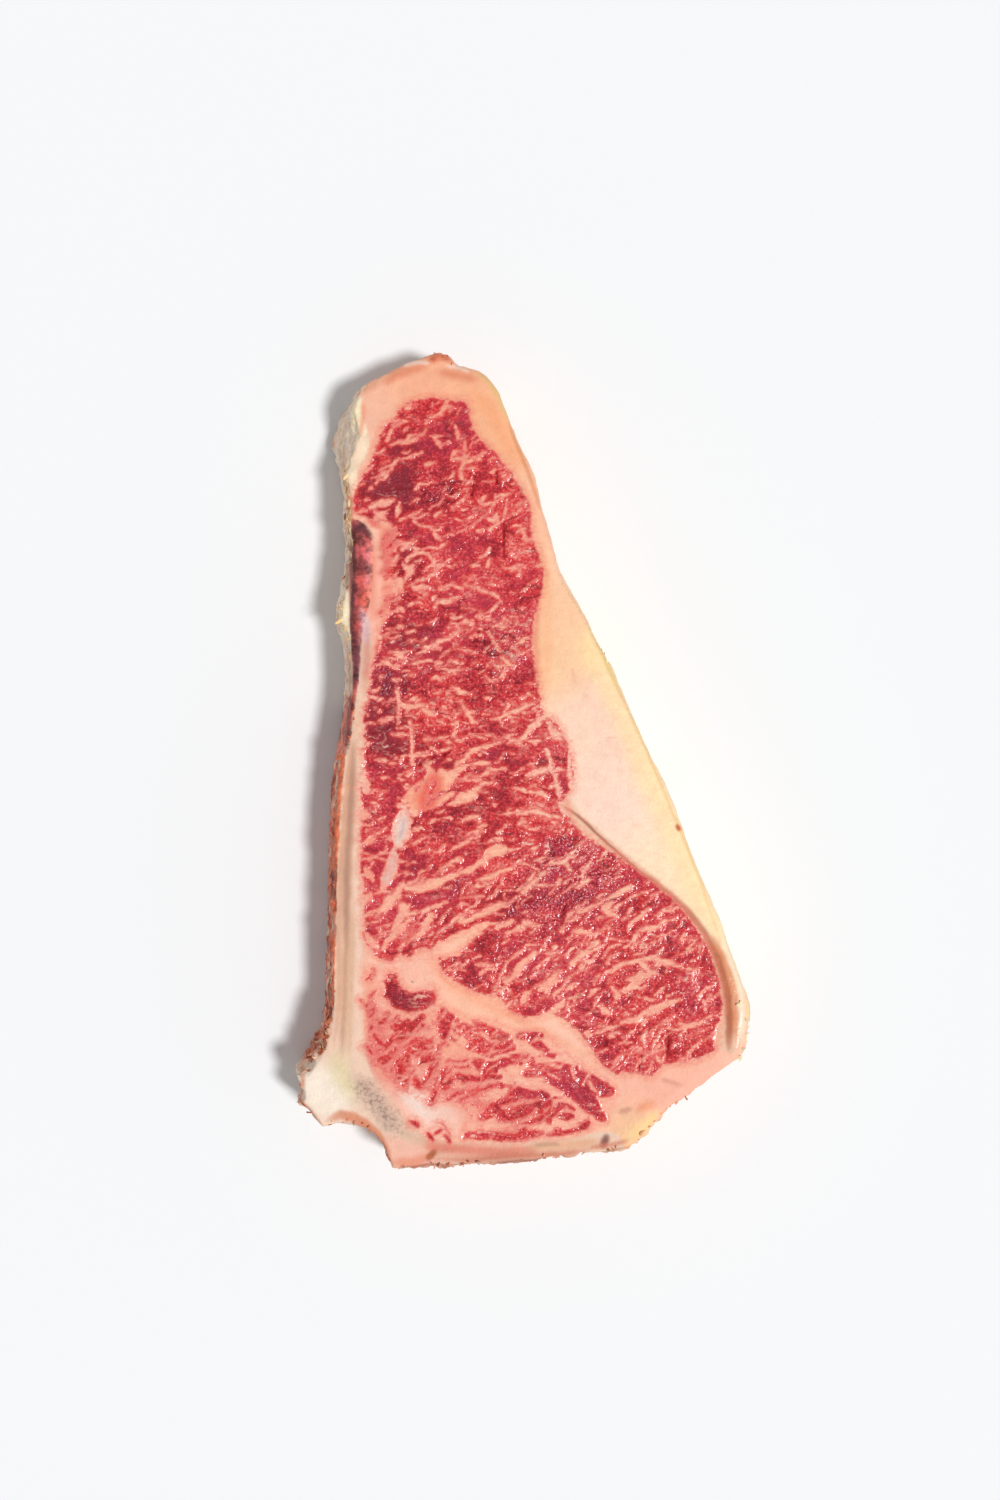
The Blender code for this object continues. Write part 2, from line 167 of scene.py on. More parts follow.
# Fat that reaches in from the loin's border.
LOIN_EDGE_FAT = (
    (5, (403, 565), (411, 571), (405, 579)), (4, (404, 579), (413, 566)),
    (6, (386, 582), (399, 580), (402, 590)), (5, (392, 590), (404, 582)), (5, (400, 541), (410, 548)),
    (4, (402, 550), (411, 543)), (5, (376, 511), (384, 519)), (6, (376, 519), (383, 511)),
    (4, (396, 604), (404, 612)), (4, (386, 594), (396, 600)), (5, (372, 508), (381, 502), (393, 500)),
    (6, (383, 600), (378, 616)), (5, (378, 632), (376, 650)), (9, (719, 1024), (716, 1046)),
    (8, (548, 722), (560, 740)), (4, (569, 752), (572, 786)), (10, (362, 770), (366, 792)),
    (8, (360, 812), (366, 818)), (7, (364, 842), (374, 838)), (9, (362, 905), (370, 895)),
    (6, (366, 868), (372, 880)), (10, (366, 935), (376, 948)),
)
# Lean that lies in the fat.
LEAN_IN_FAT = (
    (6, (402, 954), (412, 948)), (5, (362, 830), (374, 826)), (7, (387, 548), (398, 536)),
    (5, (390, 556), (398, 552)), (5, (388, 572), (396, 566)), (4, (388, 600), (398, 596)),
    (4, (392, 622), (386, 630)), (6, (400, 560), (392, 574)), (4, (364, 857), (374, 850)),
    (6, (385, 952), (400, 941), (418, 928)), (8, (400, 940), (420, 926)), (4, (366, 980), (372, 972)),
    (4, (370, 1000), (376, 990)), (5, (362, 1000), (366, 1006)), (8, (434, 782), (430, 793), (427, 803)),
    (5, (444, 790), (436, 798)), (3, (421, 783), (416, 794)), (6, (433, 942), (444, 932)),
    (6, (446, 930), (461, 924)), (6, (386, 954), (400, 944), (414, 934)), (5, (406, 957), (415, 950)),
)
# The small muscles at the broad end, and the fat lines in them.
CORNER_LEAN = (
    (6, (388, 1014), (382, 1022)), (5, (374, 1034), (384, 1046)), (6, (381, 1050), (398, 1034)),
    (6, (394, 1026), (398, 1016)), (4, (398, 1040), (406, 1030)), (5, (378, 1062), (388, 1056)),
    (9, (411, 1030), (424, 1016)), (8, (404, 1054), (412, 1047), (425, 1048)),
    (4, (394, 1064), (400, 1058)), (5, (370, 1020), (373, 1008)), (5, (366, 1046), (372, 1056)),
    (4, (390, 1072), (396, 1064)), (5, (402, 1070), (405, 1085)),
    (9, (408, 1066), (412, 1078), (422, 1086)), (6, (420, 1064), (430, 1056), (439, 1054)),
    (7, (424, 1082), (431, 1070), (439, 1058)), (9, (410, 1052), (420, 1044)),
    (4, (422, 1064), (434, 1058)), (8, (430, 1102), (437, 1088), (443, 1074), (452, 1064)),
    (10, (450, 1064), (470, 1064), (495, 1066), (514, 1060)),
    (7, (444, 1088), (454, 1077), (480, 1078), (502, 1078)),
    (4, (452, 1096), (470, 1091), (484, 1088), (498, 1084)), (4, (460, 1100), (476, 1094)),
    (5, (448, 1098), (458, 1092)), (14, (440, 1020), (446, 1034), (452, 1038)),
    (8, (440, 1012), (456, 1020)), (18, (464, 1028), (480, 1040), (505, 1046)),
    (16, (470, 1046), (490, 1050), (510, 1046)), (12, (480, 1028), (505, 1036)),
    (10, (520, 1036), (541, 1036)), (9, (532, 1042), (546, 1050)), (6, (546, 1054), (556, 1056)),
    (10, (527, 1056), (533, 1066)), (16, (528, 1072), (550, 1070), (574, 1070)),
    (22, (560, 1072), (586, 1084), (608, 1092)), (20, (568, 1084), (586, 1100), (598, 1112)),
    (12, (548, 1078), (568, 1088), (582, 1104)), (12, (598, 1112), (602, 1118)),
    (14, (484, 1116), (500, 1106), (520, 1094), (546, 1096)), (14, (500, 1118), (524, 1112), (545, 1104)),
    (5, (520, 1124), (540, 1120), (552, 1108)), (4, (546, 1120), (560, 1108)),
    (8, (560, 1116), (573, 1117)), (5, (566, 1106), (574, 1110)),
    (9, (466, 1136), (492, 1135), (514, 1138)), (8, (520, 1135), (542, 1133)),
    (5, (548, 1136), (562, 1133), (578, 1130)), (8, (580, 1127), (588, 1123)),
    (4, (411, 1122), (418, 1125)), (5, (427, 1133), (433, 1142)), (4, (435, 1133), (440, 1129)),
    (4, (445, 1135), (450, 1141)),
)
CORNER_FAT = (
    (2.5, (502, 1107), (520, 1102), (541, 1099)), (2, (536, 1110), (528, 1120), (518, 1124)),
    (2, (571, 1068), (576, 1080)), (2, (588, 1082), (598, 1094)), (3, (462, 1018), (470, 1022)),
    (4, (480, 1032), (490, 1040)), (4, (450, 1032), (458, 1040)), (2, (536, 1062), (556, 1064)),
    (6, (404, 986), (418, 990)), (2, (548, 1074), (556, 1078)), (2, (470, 1064), (474, 1068)),
)
# Cracks between the bundles of fibres: sunk into the relief, and painted shade in the lean's colour.
CRACKS = (
    (3, (668, 1030), (667, 1044), (665, 1061)), (3, (641, 1054), (639, 1070)),
    (3, (605, 1040), (608, 1047)), (4, (476, 474), (473, 486), (472, 498)), (3, (498, 469), (497, 482)),
    (2, (504, 520), (504, 558)), (4, (417, 766), (426, 760), (434, 754)), (2, (447, 497), (456, 489)),
    (3, (604, 1040), (606, 1046)), (3, (438, 759), (450, 750)), (2, (525, 903), (533, 893)),
    (2, (560, 915), (566, 905)), (2, (576, 1000), (580, 990)), (2, (474, 643), (478, 630)),
    (2, (488, 655), (484, 640)),
)
# Where the lean's border is frayed the most: pixels, radius and place.
FRAYED = (
    (3.6, 30, (396, 545)), (3.6, 30, (392, 590)), (2.0, 26, (380, 640)), (1.6, 30, (374, 700)),
    (1.4, 30, (372, 780)), (1.4, 40, (370, 880)), (1.6, 40, (372, 960)), (1.2, 40, (500, 1060)),
    (1.2, 40, (580, 1090)), (1.2, 40, (400, 1050)),
)
# Fat torn through with lean: strength, radius and place.
BLOODIED = (
    (1.0, 11, (389, 538)), (0.9, 8, (382, 548)), (0.9, 7, (385, 562)), (0.9, 7, (386, 575)),
    (0.7, 7, (390, 601)), (0.8, 7, (374, 523)), (0.6, 6, (385, 588)), (0.7, 6, (378, 614)),
    (0.6, 6, (374, 646)), (0.6, 8, (368, 700)), (0.7, 8, (366, 740)), (0.6, 9, (364, 800)),
    (0.6, 9, (366, 850)), (0.7, 9, (366, 905)), (0.7, 8, (370, 975)), (0.8, 9, (372, 1008)),
    (0.8, 10, (378, 1034)), (0.7, 10, (374, 1062)), (0.7, 9, (388, 1074)), (0.6, 9, (400, 1090)),
    (0.7, 14, (410, 1046)), (0.6, 16, (440, 1086)), (0.6, 14, (476, 1100)), (0.5, 18, (520, 1120)),
    (0.6, 12, (442, 1128)),
)
# How much lean the net of the small muscles holds: strength, radius and place.
CORNER_AMOUNT = (
    (1.8, 32, (396, 1040)), (1.6, 22, (418, 1070)), (1.6, 26, (480, 1040)), (1.0, 24, (470, 1082)),
    (1.6, 30, (586, 1090)), (0.6, 22, (376, 1060)), (1.4, 30, (520, 1104)), (-4.0, 26, (428, 1110)),
)
# Lean that is brighter or darker than the rest: strength, radius and place.
LEAN_TONES = (
    (-1.2, 22, (380, 490)), (-0.8, 18, (405, 492)), (-0.7, 20, (405, 452)), (-0.6, 16, (440, 500)),
    (-0.6, 22, (420, 640)), (-0.7, 18, (410, 560)), (-0.7, 20, (500, 440)), (0.6, 28, (506, 652)),
    (-0.3, 22, (470, 700)), (-0.5, 18, (453, 430)), (-0.8, 22, (385, 690)), (-0.9, 24, (392, 740)),
    (-0.6, 16, (425, 755)), (-0.6, 30, (372, 720)), (-0.4, 28, (500, 760)), (0.9, 14, (436, 722)),
    (1.0, 13, (455, 748)), (0.9, 12, (470, 580)), (0.6, 20, (430, 405)), (-0.5, 20, (480, 800)),
    (-0.4, 24, (450, 815)), (-0.5, 34, (490, 900)), (-0.3, 30, (560, 900)), (0.7, 18, (540, 805)),
    (0.7, 10, (455, 630)), (0.5, 30, (515, 480)), (0.4, 30, (520, 560)), (0.9, 18, (570, 745)),
    (0.8, 16, (385, 545)), (0.7, 20, (590, 840)), (0.5, 24, (660, 990)), (-0.5, 22, (400, 550)),
    (-0.6, 22, (395, 640)), (-0.4, 20, (620, 890)), (0.5, 30, (640, 1050)), (-0.6, 20, (410, 870)),
    (-0.5, 26, (480, 975)), (-0.8, 30, (410, 1000)), (0.6, 16, (400, 935)), (0.5, 60, (470, 1060)),
    (1.6, 12, (432, 790)), (1.7, 12, (500, 872)), (-0.4, 30, (590, 1090)), (1.2, 10, (540, 815)),
    (1.2, 10, (412, 940)), (1.0, 12, (435, 560)),
)
# Wet patches that glisten by a lower roughness and a rippled coat, and on which a lilac sheen is painted:
# strength, radius and place.
WET = (
    (1.0, 34, (560, 880)), (0.9, 30, (590, 860)), (0.9, 24, (530, 915)), (0.8, 20, (438, 482)),
    (0.9, 20, (388, 680)), (0.7, 26, (500, 645)), (0.6, 20, (395, 605)), (0.7, 24, (600, 890)),
    (0.6, 20, (450, 880)), (0.4, 40, (640, 950)), (0.4, 30, (510, 670)), (0.5, 14, (450, 1030)),
)

# Soft colour dabs on what isn't lean: colour from 0 to 255, radius and place.
FAT_DABS = (
    ((246, 176, 140), 60, (420, 372)), ((243, 186, 160), 34, (372, 410)), ((246, 180, 138), 50, (490, 420)),
    ((246, 186, 150), 40, (535, 520)), ((250, 200, 160), 40, (548, 600)), ((252, 204, 160), 40, (550, 660)),
    ((255, 218, 160), 22, (600, 650)), ((254, 214, 190), 60, (600, 740)), ((254, 218, 198), 60, (620, 810)),
    ((255, 229, 190), 50, (670, 850)), ((255, 230, 186), 40, (715, 940)), ((255, 226, 180), 26, (655, 770)),
    ((254, 190, 160), 60, (500, 1010)), ((253, 196, 172), 60, (560, 1040)),
    ((250, 186, 164), 50, (390, 970)), ((238, 160, 144), 46, (392, 1050)),
    ((240, 162, 142), 34, (464, 1084)), ((244, 176, 156), 26, (548, 1084)),
    ((250, 182, 158), 60, (660, 1090)), ((246, 200, 150), 24, (636, 1130)),
    ((250, 206, 190), 30, (425, 1105)), ((248, 196, 172), 40, (520, 1090)),
    ((250, 176, 156), 40, (375, 590)), ((246, 184, 162), 30, (370, 700)), ((254, 196, 166), 80, (440, 800)),
    ((252, 198, 170), 80, (620, 980)), ((248, 190, 168), 50, (365, 850)), ((252, 200, 176), 80, (450, 560)),
)
# Strokes of colour on what isn't lean: colour, strength, width, softness and the points of the run.
TINT_STROKES = (
    # The limb of the bone, from its body to its lines.
    ((236, 200, 174), 0.9, 18, 8, (358, 700), (351, 800), (349, 900), (349, 1000), (342, 1066)),
    ((242, 184, 162), 0.8, 9, 6, (371, 700), (367, 760), (367, 860), (367, 960), (366, 1040)),
    ((244, 204, 184), 0.7, 8, 8, (365, 690), (364, 740), (360, 800), (357, 860), (357, 950), (358, 1040),
     (354, 1074)),
    ((218, 162, 140), 0.7, 9, 8, (365, 626), (366, 660), (363, 696)),
    ((226, 176, 146), 0.5, 8, 8, (357, 690), (355, 740), (352, 800), (349, 880), (348, 960), (346, 1040)),
    ((160, 106, 86), 0.7, 8, 7, (353, 742), (352, 780), (350, 820), (347, 860), (346, 910), (346, 950)),
    ((190, 142, 110), 0.7, 6, 7, (347, 930), (345, 970), (344, 1010), (342, 1056)),
    ((214, 170, 134), 0.6, 5, 6, (354, 900), (352, 960), (351, 1010), (349, 1060)),
    ((214, 146, 108), 0.6, 5, 4, (351, 745), (345, 800), (341, 860), (339, 930), (339, 1000), (334, 1050)),
    ((238, 126, 86), 0.9, 9, 3, (348, 690), (344, 720), (340, 752), (336, 800), (333, 850), (331, 900),
     (330, 960), (329, 1010), (325, 1030), (316, 1048), (303, 1064)),
    # The corner and the foot of the bone.
    ((248, 232, 214), 1.0, 46, 26, (318, 1086), (330, 1098)),
    ((222, 208, 160), 0.7, 18, 18, (338, 1060), (342, 1078), (352, 1092)),
    ((244, 176, 148), 0.5, 12, 14, (372, 1078), (386, 1096), (400, 1112), (414, 1126)),
    ((196, 164, 148), 0.75, 18, 15, (358, 1080), (372, 1097), (386, 1117), (398, 1131)),
    ((242, 186, 164), 1.0, 26, 12, (380, 1142), (400, 1154), (440, 1156)),
    ((240, 196, 170), 0.9, 12, 6, (440, 1154), (500, 1153), (560, 1150), (616, 1140)),
    ((212, 172, 146), 0.6, 9, 10, (394, 1128), (414, 1138), (440, 1147), (470, 1149)),
    ((218, 116, 96), 0.8, 11, 9, (424, 1147), (470, 1150), (500, 1152), (540, 1149)),
    ((198, 104, 78), 0.75, 7, 7, (436, 1159), (470, 1160), (510, 1157), (560, 1154), (590, 1150)),
    ((226, 136, 106), 0.75, 10, 9, (394, 1163), (416, 1162), (430, 1156)),
    ((226, 168, 130), 0.7, 9, 8, (530, 1148), (600, 1142)),
    ((190, 146, 120), 0.7, 4, 3, (534, 1145), (560, 1144)),
    ((176, 88, 36), 0.9, 7, 4, (429, 1158), (434, 1152)),
    ((112, 40, 44), 0.85, 8, 5, (603, 1145), (606, 1138)),
    ((146, 68, 48), 0.8, 3, 3, (392, 1169), (430, 1165), (470, 1166), (510, 1162), (560, 1159),
     (600, 1154), (632, 1146)),
    ((214, 130, 94), 0.85, 10, 5, (328, 1120), (340, 1115), (352, 1117), (366, 1124), (377, 1135),
     (384, 1150), (390, 1164)),
    ((208, 132, 98), 0.7, 4, 4, (302, 1064), (303, 1085), (300, 1101), (312, 1113), (322, 1126)),
    # The dried strip.
    ((206, 92, 90), 0.9, 13, 8, (365, 530), (366, 570), (362, 610)),
    ((66, 24, 34), 0.85, 6, 6, (353, 530), (353, 580), (352, 620), (355, 650), (356, 674)),
    ((186, 74, 66), 0.8, 9, 6, (361, 566), (362, 594), (358, 618), (355, 632)),
    ((222, 104, 86), 0.75, 6, 6, (367, 572), (366, 604), (362, 622)),
    ((70, 30, 42), 0.85, 8, 5, (354, 529), (362, 527), (370, 537)),
    ((190, 116, 130), 0.6, 6, 6, (369, 544), (369, 572), (366, 588)),
    ((80, 34, 48), 0.5, 3, 3, (358, 540), (361, 556), (359, 570)),
    ((90, 36, 48), 0.5, 2, 3, (356, 585), (359, 600), (357, 612)),
    ((238, 150, 126), 0.8, 7, 8, (374, 536), (373, 580), (372, 620)),
    # The stained fat beside the dried strip.
    ((236, 116, 96), 0.6, 12, 14, (384, 524), (390, 548), (384, 572)),
    ((240, 128, 104), 0.5, 10, 12, (386, 584), (392, 604), (386, 630)),
    ((198, 62, 62), 0.8, 11, 10, (383, 547), (393, 532)),
    ((204, 72, 68), 0.75, 5, 6, (380, 557), (388, 558)),
    ((206, 74, 70), 0.75, 6, 7, (380, 573), (389, 566)),
    ((210, 84, 76), 0.7, 6, 6, (370, 522), (378, 526)),
    ((206, 84, 76), 0.7, 7, 8, (385, 606), (394, 599)),
    ((214, 100, 88), 0.5, 4, 5, (383, 588), (391, 585)),
    ((216, 104, 90), 0.5, 4, 6, (376, 613), (384, 606)),
    ((220, 110, 92), 0.5, 5, 6, (378, 640), (374, 660)),
    ((206, 140, 128), 0.6, 7, 6, (366, 622), (367, 650), (365, 680)),
    ((140, 48, 58), 0.7, 3, 3, (351, 545), (351, 600)),
    # A painted highlight: a lilac-white patch of sheen on the dried strip.
    ((222, 182, 190), 0.7, 8, 8, (362, 610), (366, 626), (364, 642)),
    ((92, 46, 62), 0.7, 6, 5, (358, 640), (357, 664), (354, 684)),
    ((150, 56, 50), 0.8, 7, 5, (352, 690), (349, 720), (345, 746)),
    # The torn rim and the skin flap.
    ((255, 220, 180), 0.9, 8, 4, (343, 462), (347, 500), (346, 545)),
    ((140, 76, 60), 0.6, 5, 6, (347, 556), (348, 592)),
    ((130, 70, 62), 0.6, 5, 6, (349, 650), (349, 690)),
    ((150, 96, 62), 0.6, 3, 3, (352, 496), (351, 520)),
    ((160, 108, 70), 0.6, 2, 2, (346, 520), (348, 552)),
    ((238, 160, 116), 0.6, 4, 4, (345, 470), (349, 500), (348, 530)),
    ((255, 234, 200), 1.0, 9, 3, (345, 600), (343, 620), (345, 638)),
    ((214, 160, 84), 0.8, 3, 3, (339, 604), (337, 624), (341, 640), (347, 645)),
    ((255, 236, 200), 0.9, 12, 9, (356, 400), (354, 430)),
    ((255, 230, 188), 0.8, 12, 9, (350, 404), (345, 424), (341, 448)),
    ((204, 160, 118), 0.6, 6, 6, (339, 450), (345, 468)),
    ((232, 128, 92), 0.6, 5, 5, (363, 402), (363, 418), (361, 434)),
    # The narrow end.
    ((234, 160, 126), 0.5, 6, 6, (352, 398), (366, 390), (380, 383)),
    ((216, 112, 76), 0.6, 7, 9, (384, 384), (396, 376), (412, 370), (428, 366)),
    ((214, 112, 76), 0.6, 8, 10, (438, 372), (460, 376), (477, 380)),
    ((214, 108, 74), 0.85, 9, 6, (430, 360), (440, 355), (450, 359)),
    ((246, 220, 204), 0.7, 4, 3, (402, 366), (418, 362), (430, 363)),
    ((246, 214, 196), 0.7, 4, 3, (446, 366), (458, 367), (470, 372)),
    ((226, 188, 126), 0.8, 8, 6, (478, 373), (490, 381), (500, 397), (508, 420)),
    ((246, 166, 116), 0.6, 14, 12, (470, 388), (492, 412), (506, 440), (522, 472)),
    ((212, 136, 88), 0.7, 4, 4, (509, 424), (520, 452), (533, 486), (541, 512)),
    # The fat along the right side.
    ((250, 186, 142), 0.7, 12, 10, (541, 548), (547, 600), (547, 650), (545, 696)),
    ((234, 136, 104), 0.6, 6, 8, (537, 590), (536, 640), (538, 692)),
    ((255, 224, 172), 0.75, 26, 20, (584, 636), (612, 690), (636, 740), (660, 800), (682, 850),
     (702, 900), (716, 932)),
    ((220, 204, 142), 0.6, 5, 4, (590, 624), (602, 653), (613, 679), (622, 699)),
    ((232, 190, 122), 0.6, 3, 3, (562, 582), (586, 618), (600, 650), (626, 706), (650, 758), (676, 820),
     (700, 880), (722, 945)),
    ((196, 70, 40), 0.9, 4, 3, (677, 826), (679, 830)),
    ((238, 168, 150), 0.5, 3, 4, (571, 668), (576, 684)),
    ((236, 170, 150), 0.5, 2, 3, (583, 694), (588, 697)),
    # The band of sinew.
    ((164, 88, 64), 0.95, 3, 2, (560, 804), (578, 816), (590, 827), (618, 853), (652, 881)),
    ((174, 100, 68), 0.85, 7, 4, (640, 872), (660, 888), (688, 912), (708, 937)),
    ((176, 94, 58), 0.95, 9, 5, (702, 930), (719, 960), (727, 990), (730, 1020), (729, 1050)),
    ((224, 138, 88), 0.8, 7, 6, (712, 935), (728, 965), (736, 1000), (736, 1040)),
    ((247, 230, 206), 0.8, 6, 5, (722, 940), (741, 985), (742, 1040)),
    ((246, 214, 150), 0.6, 4, 4, (724, 932), (747, 996), (748, 1030)),
    # The fat under the loin.
    ((242, 154, 118), 0.5, 8, 10, (420, 950), (450, 985), (500, 1012), (560, 1040), (600, 1066)),
    ((184, 126, 108), 0.6, 5, 5, (621, 1112), (630, 1109)),
    ((236, 146, 98), 0.6, 9, 8, (640, 1109), (652, 1104)),
    ((196, 128, 108), 0.5, 4, 5, (661, 1079), (672, 1082), (682, 1086)),
    ((250, 214, 150), 0.8, 11, 9, (630, 1136), (642, 1128), (656, 1114)),
    ((206, 116, 88), 0.7, 5, 5, (590, 1148), (612, 1145), (628, 1140)),
    ((244, 222, 210), 0.75, 17, 11, (406, 1092), (419, 1102), (428, 1113)),
    ((240, 208, 190), 0.5, 14, 12, (424, 1112), (450, 1118)),
    # Sinew and stains between the bundles of the loin.
    ((240, 214, 200), 0.9, 18, 7, (402, 812), (402, 828), (398, 845)),
    ((204, 176, 178), 0.8, 4, 4, (404, 818), (402, 830), (399, 840)),
    ((222, 190, 182), 0.8, 9, 6, (396, 850), (391, 868), (383, 886)),
    ((214, 188, 196), 0.8, 10, 8, (432, 934), (446, 924)),
    ((248, 146, 112), 0.6, 18, 14, (414, 800), (442, 788)),
    ((228, 54, 44), 1.0, 18, 11, (434, 780), (430, 794), (426, 806)),
    ((246, 150, 120), 0.6, 12, 10, (366, 800), (372, 870), (374, 930)),
    ((250, 160, 130), 0.5, 10, 10, (360, 960), (372, 1000), (368, 1040)),
)
# Clouds of colour low on the side wall: where, colour, the random value at which each starts and is
# full, and its size in metres.
WALL_CLOUDS = (
    ("any", (250, 222, 190), 0.0, 0.9, 0.016), ("any", (236, 164, 138), 0.1, 0.9, 0.012),
    ("any", (206, 92, 74), 0.45, 1.1, 0.007), ("any", (252, 232, 204), 0.3, 0.9, 0.007),
    ("any", (150, 58, 48), 0.55, 1.1, 0.004), ("scraps", (176, 80, 60), -0.3, 0.5, 0.009),
    ("scraps", (116, 46, 40), 0.15, 0.8, 0.005), ("scraps", (240, 206, 178), 0.15, 0.6, 0.009),
    ("scraps", (226, 134, 104), 0.2, 0.7, 0.004), ("skin", (255, 226, 204), -0.5, 0.3, 0.018),
    ("skin", (242, 184, 154), 0.0, 0.6, 0.010), ("skin", (206, 132, 108), 0.4, 0.9, 0.006),
    ("skin", (255, 240, 222), 0.1, 0.6, 0.005),
)
# Torn rims: strength, radius and place.
RIMS = (
    (1.0, 26, (314, 1048)), (0.9, 20, (300, 1092)), (0.7, 20, (350, 1122)), (0.8, 30, (410, 1166)),
    (0.9, 30, (460, 1162)), (0.9, 30, (510, 1160)), (0.8, 30, (560, 1158)), (0.7, 30, (610, 1150)),
    (0.7, 24, (650, 1130)), (0.5, 26, (690, 1096)), (0.8, 20, (748, 1030)), (0.5, 22, (448, 354)),
)
# Dark specks in what isn't lean: strength, radius and place.
SPECKS = (
    (1.0, 12, (364, 1088)), (1.0, 12, (376, 1102)), (1.0, 11, (388, 1116)), (0.5, 12, (398, 1130)),
    (0.5, 7, (334, 760)), (0.5, 7, (337, 810)), (0.6, 6, (334, 850)), (0.5, 8, (316, 1044)),
    (0.3, 6, (606, 1139)), (0.5, 6, (434, 1156)), (0.4, 8, (560, 1156)), (0.4, 8, (500, 1158)),
    (0.5, 8, (346, 700)), (0.5, 8, (344, 730)), (0.5, 8, (350, 660)), (0.4, 5, (624, 1111)),
)

# The pieces that shreds grow on.
SHRED_HOSTS = ("skin_flap", "flank_rim", "side_meat", "bone", "seam_fat", "fat_cap")

# Torn shreds on the steak's edges: how many, length in metres, how far they stand out, colour and run.
MEAT_SHREDS = (
    (60, 0.0022, 0.1, (222, 116, 80), (346, 690), (338, 760), (332, 850), (329, 940), (329, 1010)),
    (44, 0.0030, 0.2, (196, 112, 80), (329, 1016), (318, 1044), (303, 1062)),
    (20, 0.0036, 0.5, (236, 190, 160), (326, 1030), (312, 1050), (300, 1066)),
    (14, 0.0018, 0.1, (188, 92, 64), (300, 1078), (296, 1096), (304, 1108), (318, 1118)),
    (20, 0.0018, 0.2, (214, 130, 98), (330, 1121), (352, 1119), (372, 1130), (384, 1150), (390, 1165)),
    (54, 0.0020, 0.3, (226, 156, 128), (392, 1168), (440, 1164), (500, 1161), (560, 1158), (606, 1151)),
    (14, 0.0020, 0.2, (184, 100, 72), (426, 1163), (440, 1163), (486, 1161), (504, 1161)),
    (24, 0.0020, 0.3, (228, 160, 112), (606, 1150), (634, 1142), (656, 1122), (690, 1098)),
    (7, 0.0020, 0.1, (230, 132, 96), (424, 358), (442, 351), (466, 363)),
)
SKIN_SHREDS = (
    (34, 0.0026, 0.2, (240, 206, 160), (343, 466), (345, 500), (344, 530), (343, 560)),
    (12, 0.0020, 0.1, (186, 124, 80), (344, 480), (344, 540), (346, 590)),
    (14, 0.0028, 0.2, (236, 196, 140), (340, 600), (339, 630), (346, 660)),
    (16, 0.0024, 0.4, (250, 234, 190), (738, 1000), (748, 1020), (750, 1050), (742, 1066)),
    (14, 0.0014, 0.2, (240, 222, 184), (560, 566), (590, 620), (624, 690)),
)


# ---------------------------------------------------------------- sizes and colours a user may change


def seen(red, green, blue):
    """A colour as the eye reads it, 0 to 255, as the linear values that materials use."""
    return tuple(((c / 255 + 0.055) / 1.055) ** 2.4 for c in (red, green, blue))


def colour(name, description, red, green, blue):
    return FloatVectorProperty(
        name=name, description=description, default=seen(red, green, blue), size=3, min=0.0, max=1.0,
        subtype="COLOR")


def length(name, description, default):
    return FloatProperty(
        name=name, description=description, default=default, min=0.0, soft_max=0.01, precision=5,
        subtype="DISTANCE", unit="LENGTH")


class SteakSizes(bpy.types.PropertyGroup):
    """Sizes of the relief and of what is random"""

    mesh_step: length("Mesh step", "Spacing of the points on the underside; half of it elsewhere", 0.0011)
    lean_relief: length("Lean relief", "Height of the roughness of the lean", 0.00022)
    fat_relief: length("Fat relief", "Height of the waves of the fat", 0.00030)
    wall_relief: length("Wall relief", "Height of the folds of the side wall", 0.00055)
    torn_relief: length("Torn relief", "Height of the roughness of torn rims", 0.0011)
    crack_depth: length("Crack depth", "Depth of the cracks between muscle bundles", 0.0009)
    fleck_count: IntProperty(
        name="Flecks", description="Number of small fat flecks in each cut face", default=1500, min=0)
    seed: IntProperty(name="Seed", description="Changes what is random in the meat", default=11, min=0)


class SteakColours(bpy.types.PropertyGroup):
    """Colours of the tissues"""

    # Dark lean is also painted into the creases and cracks as shade.
    lean_dark: colour("Dark lean", "Lean in the shaded fibres", 140, 4, 26)
    lean_mid: colour("Lean", "Most of the lean", 200, 30, 42)
    lean_bright: colour("Bright lean", "Lean close under the surface fat", 228, 66, 64)
    lean_cool: colour("Cool lean", "Lean that has a purple tone", 190, 48, 76)
    lean_deep: colour("Deep lean", "Lean that has dried to a dark purple", 132, 24, 44)
    lean_fresh: colour("Fresh lean", "Lean with a clear orange-red tone", 224, 52, 40)
    lean_pink: colour("Pink lean", "The fine net of tissue in the lean", 236, 130, 120)
    # Painted sheen: the lilac reflection of wet lean, painted into its colour.
    painted_sheen: colour("Glaze", "The lilac sheen of wet lean", 222, 140, 164)
    marbling: colour("Marbling", "Fat flecks in the lean", 250, 204, 182)
    stain: colour("Stain", "What the lean leaves on the fat beside it", 236, 128, 100)
    fat: colour("Fat", "Fat where no dab says otherwise", 252, 202, 172)
    speck: colour("Specks", "Dark specks in marrow and dried rims", 112, 84, 70)
    bone: colour("Bone", "Sawn bone", 238, 204, 180)
    skin: colour("Skin", "Dry cream skin", 255, 224, 194)
    membrane: colour("Membrane", "Dark dried membrane", 180, 80, 80)
    scraps: colour("Scraps", "Dried meat on the outside of the bone", 242, 128, 84)
    sinew: colour("Sinew", "The sinew band", 240, 196, 168)


# ---------------------------------------------------------------- fields worked out point by point


def smooth(value, low, high):
    """0 below low, 1 above high, and an even slope between."""
    share = np.clip((value - low) / (high - low), 0, 1)
    return share * share * (3 - 2 * share)


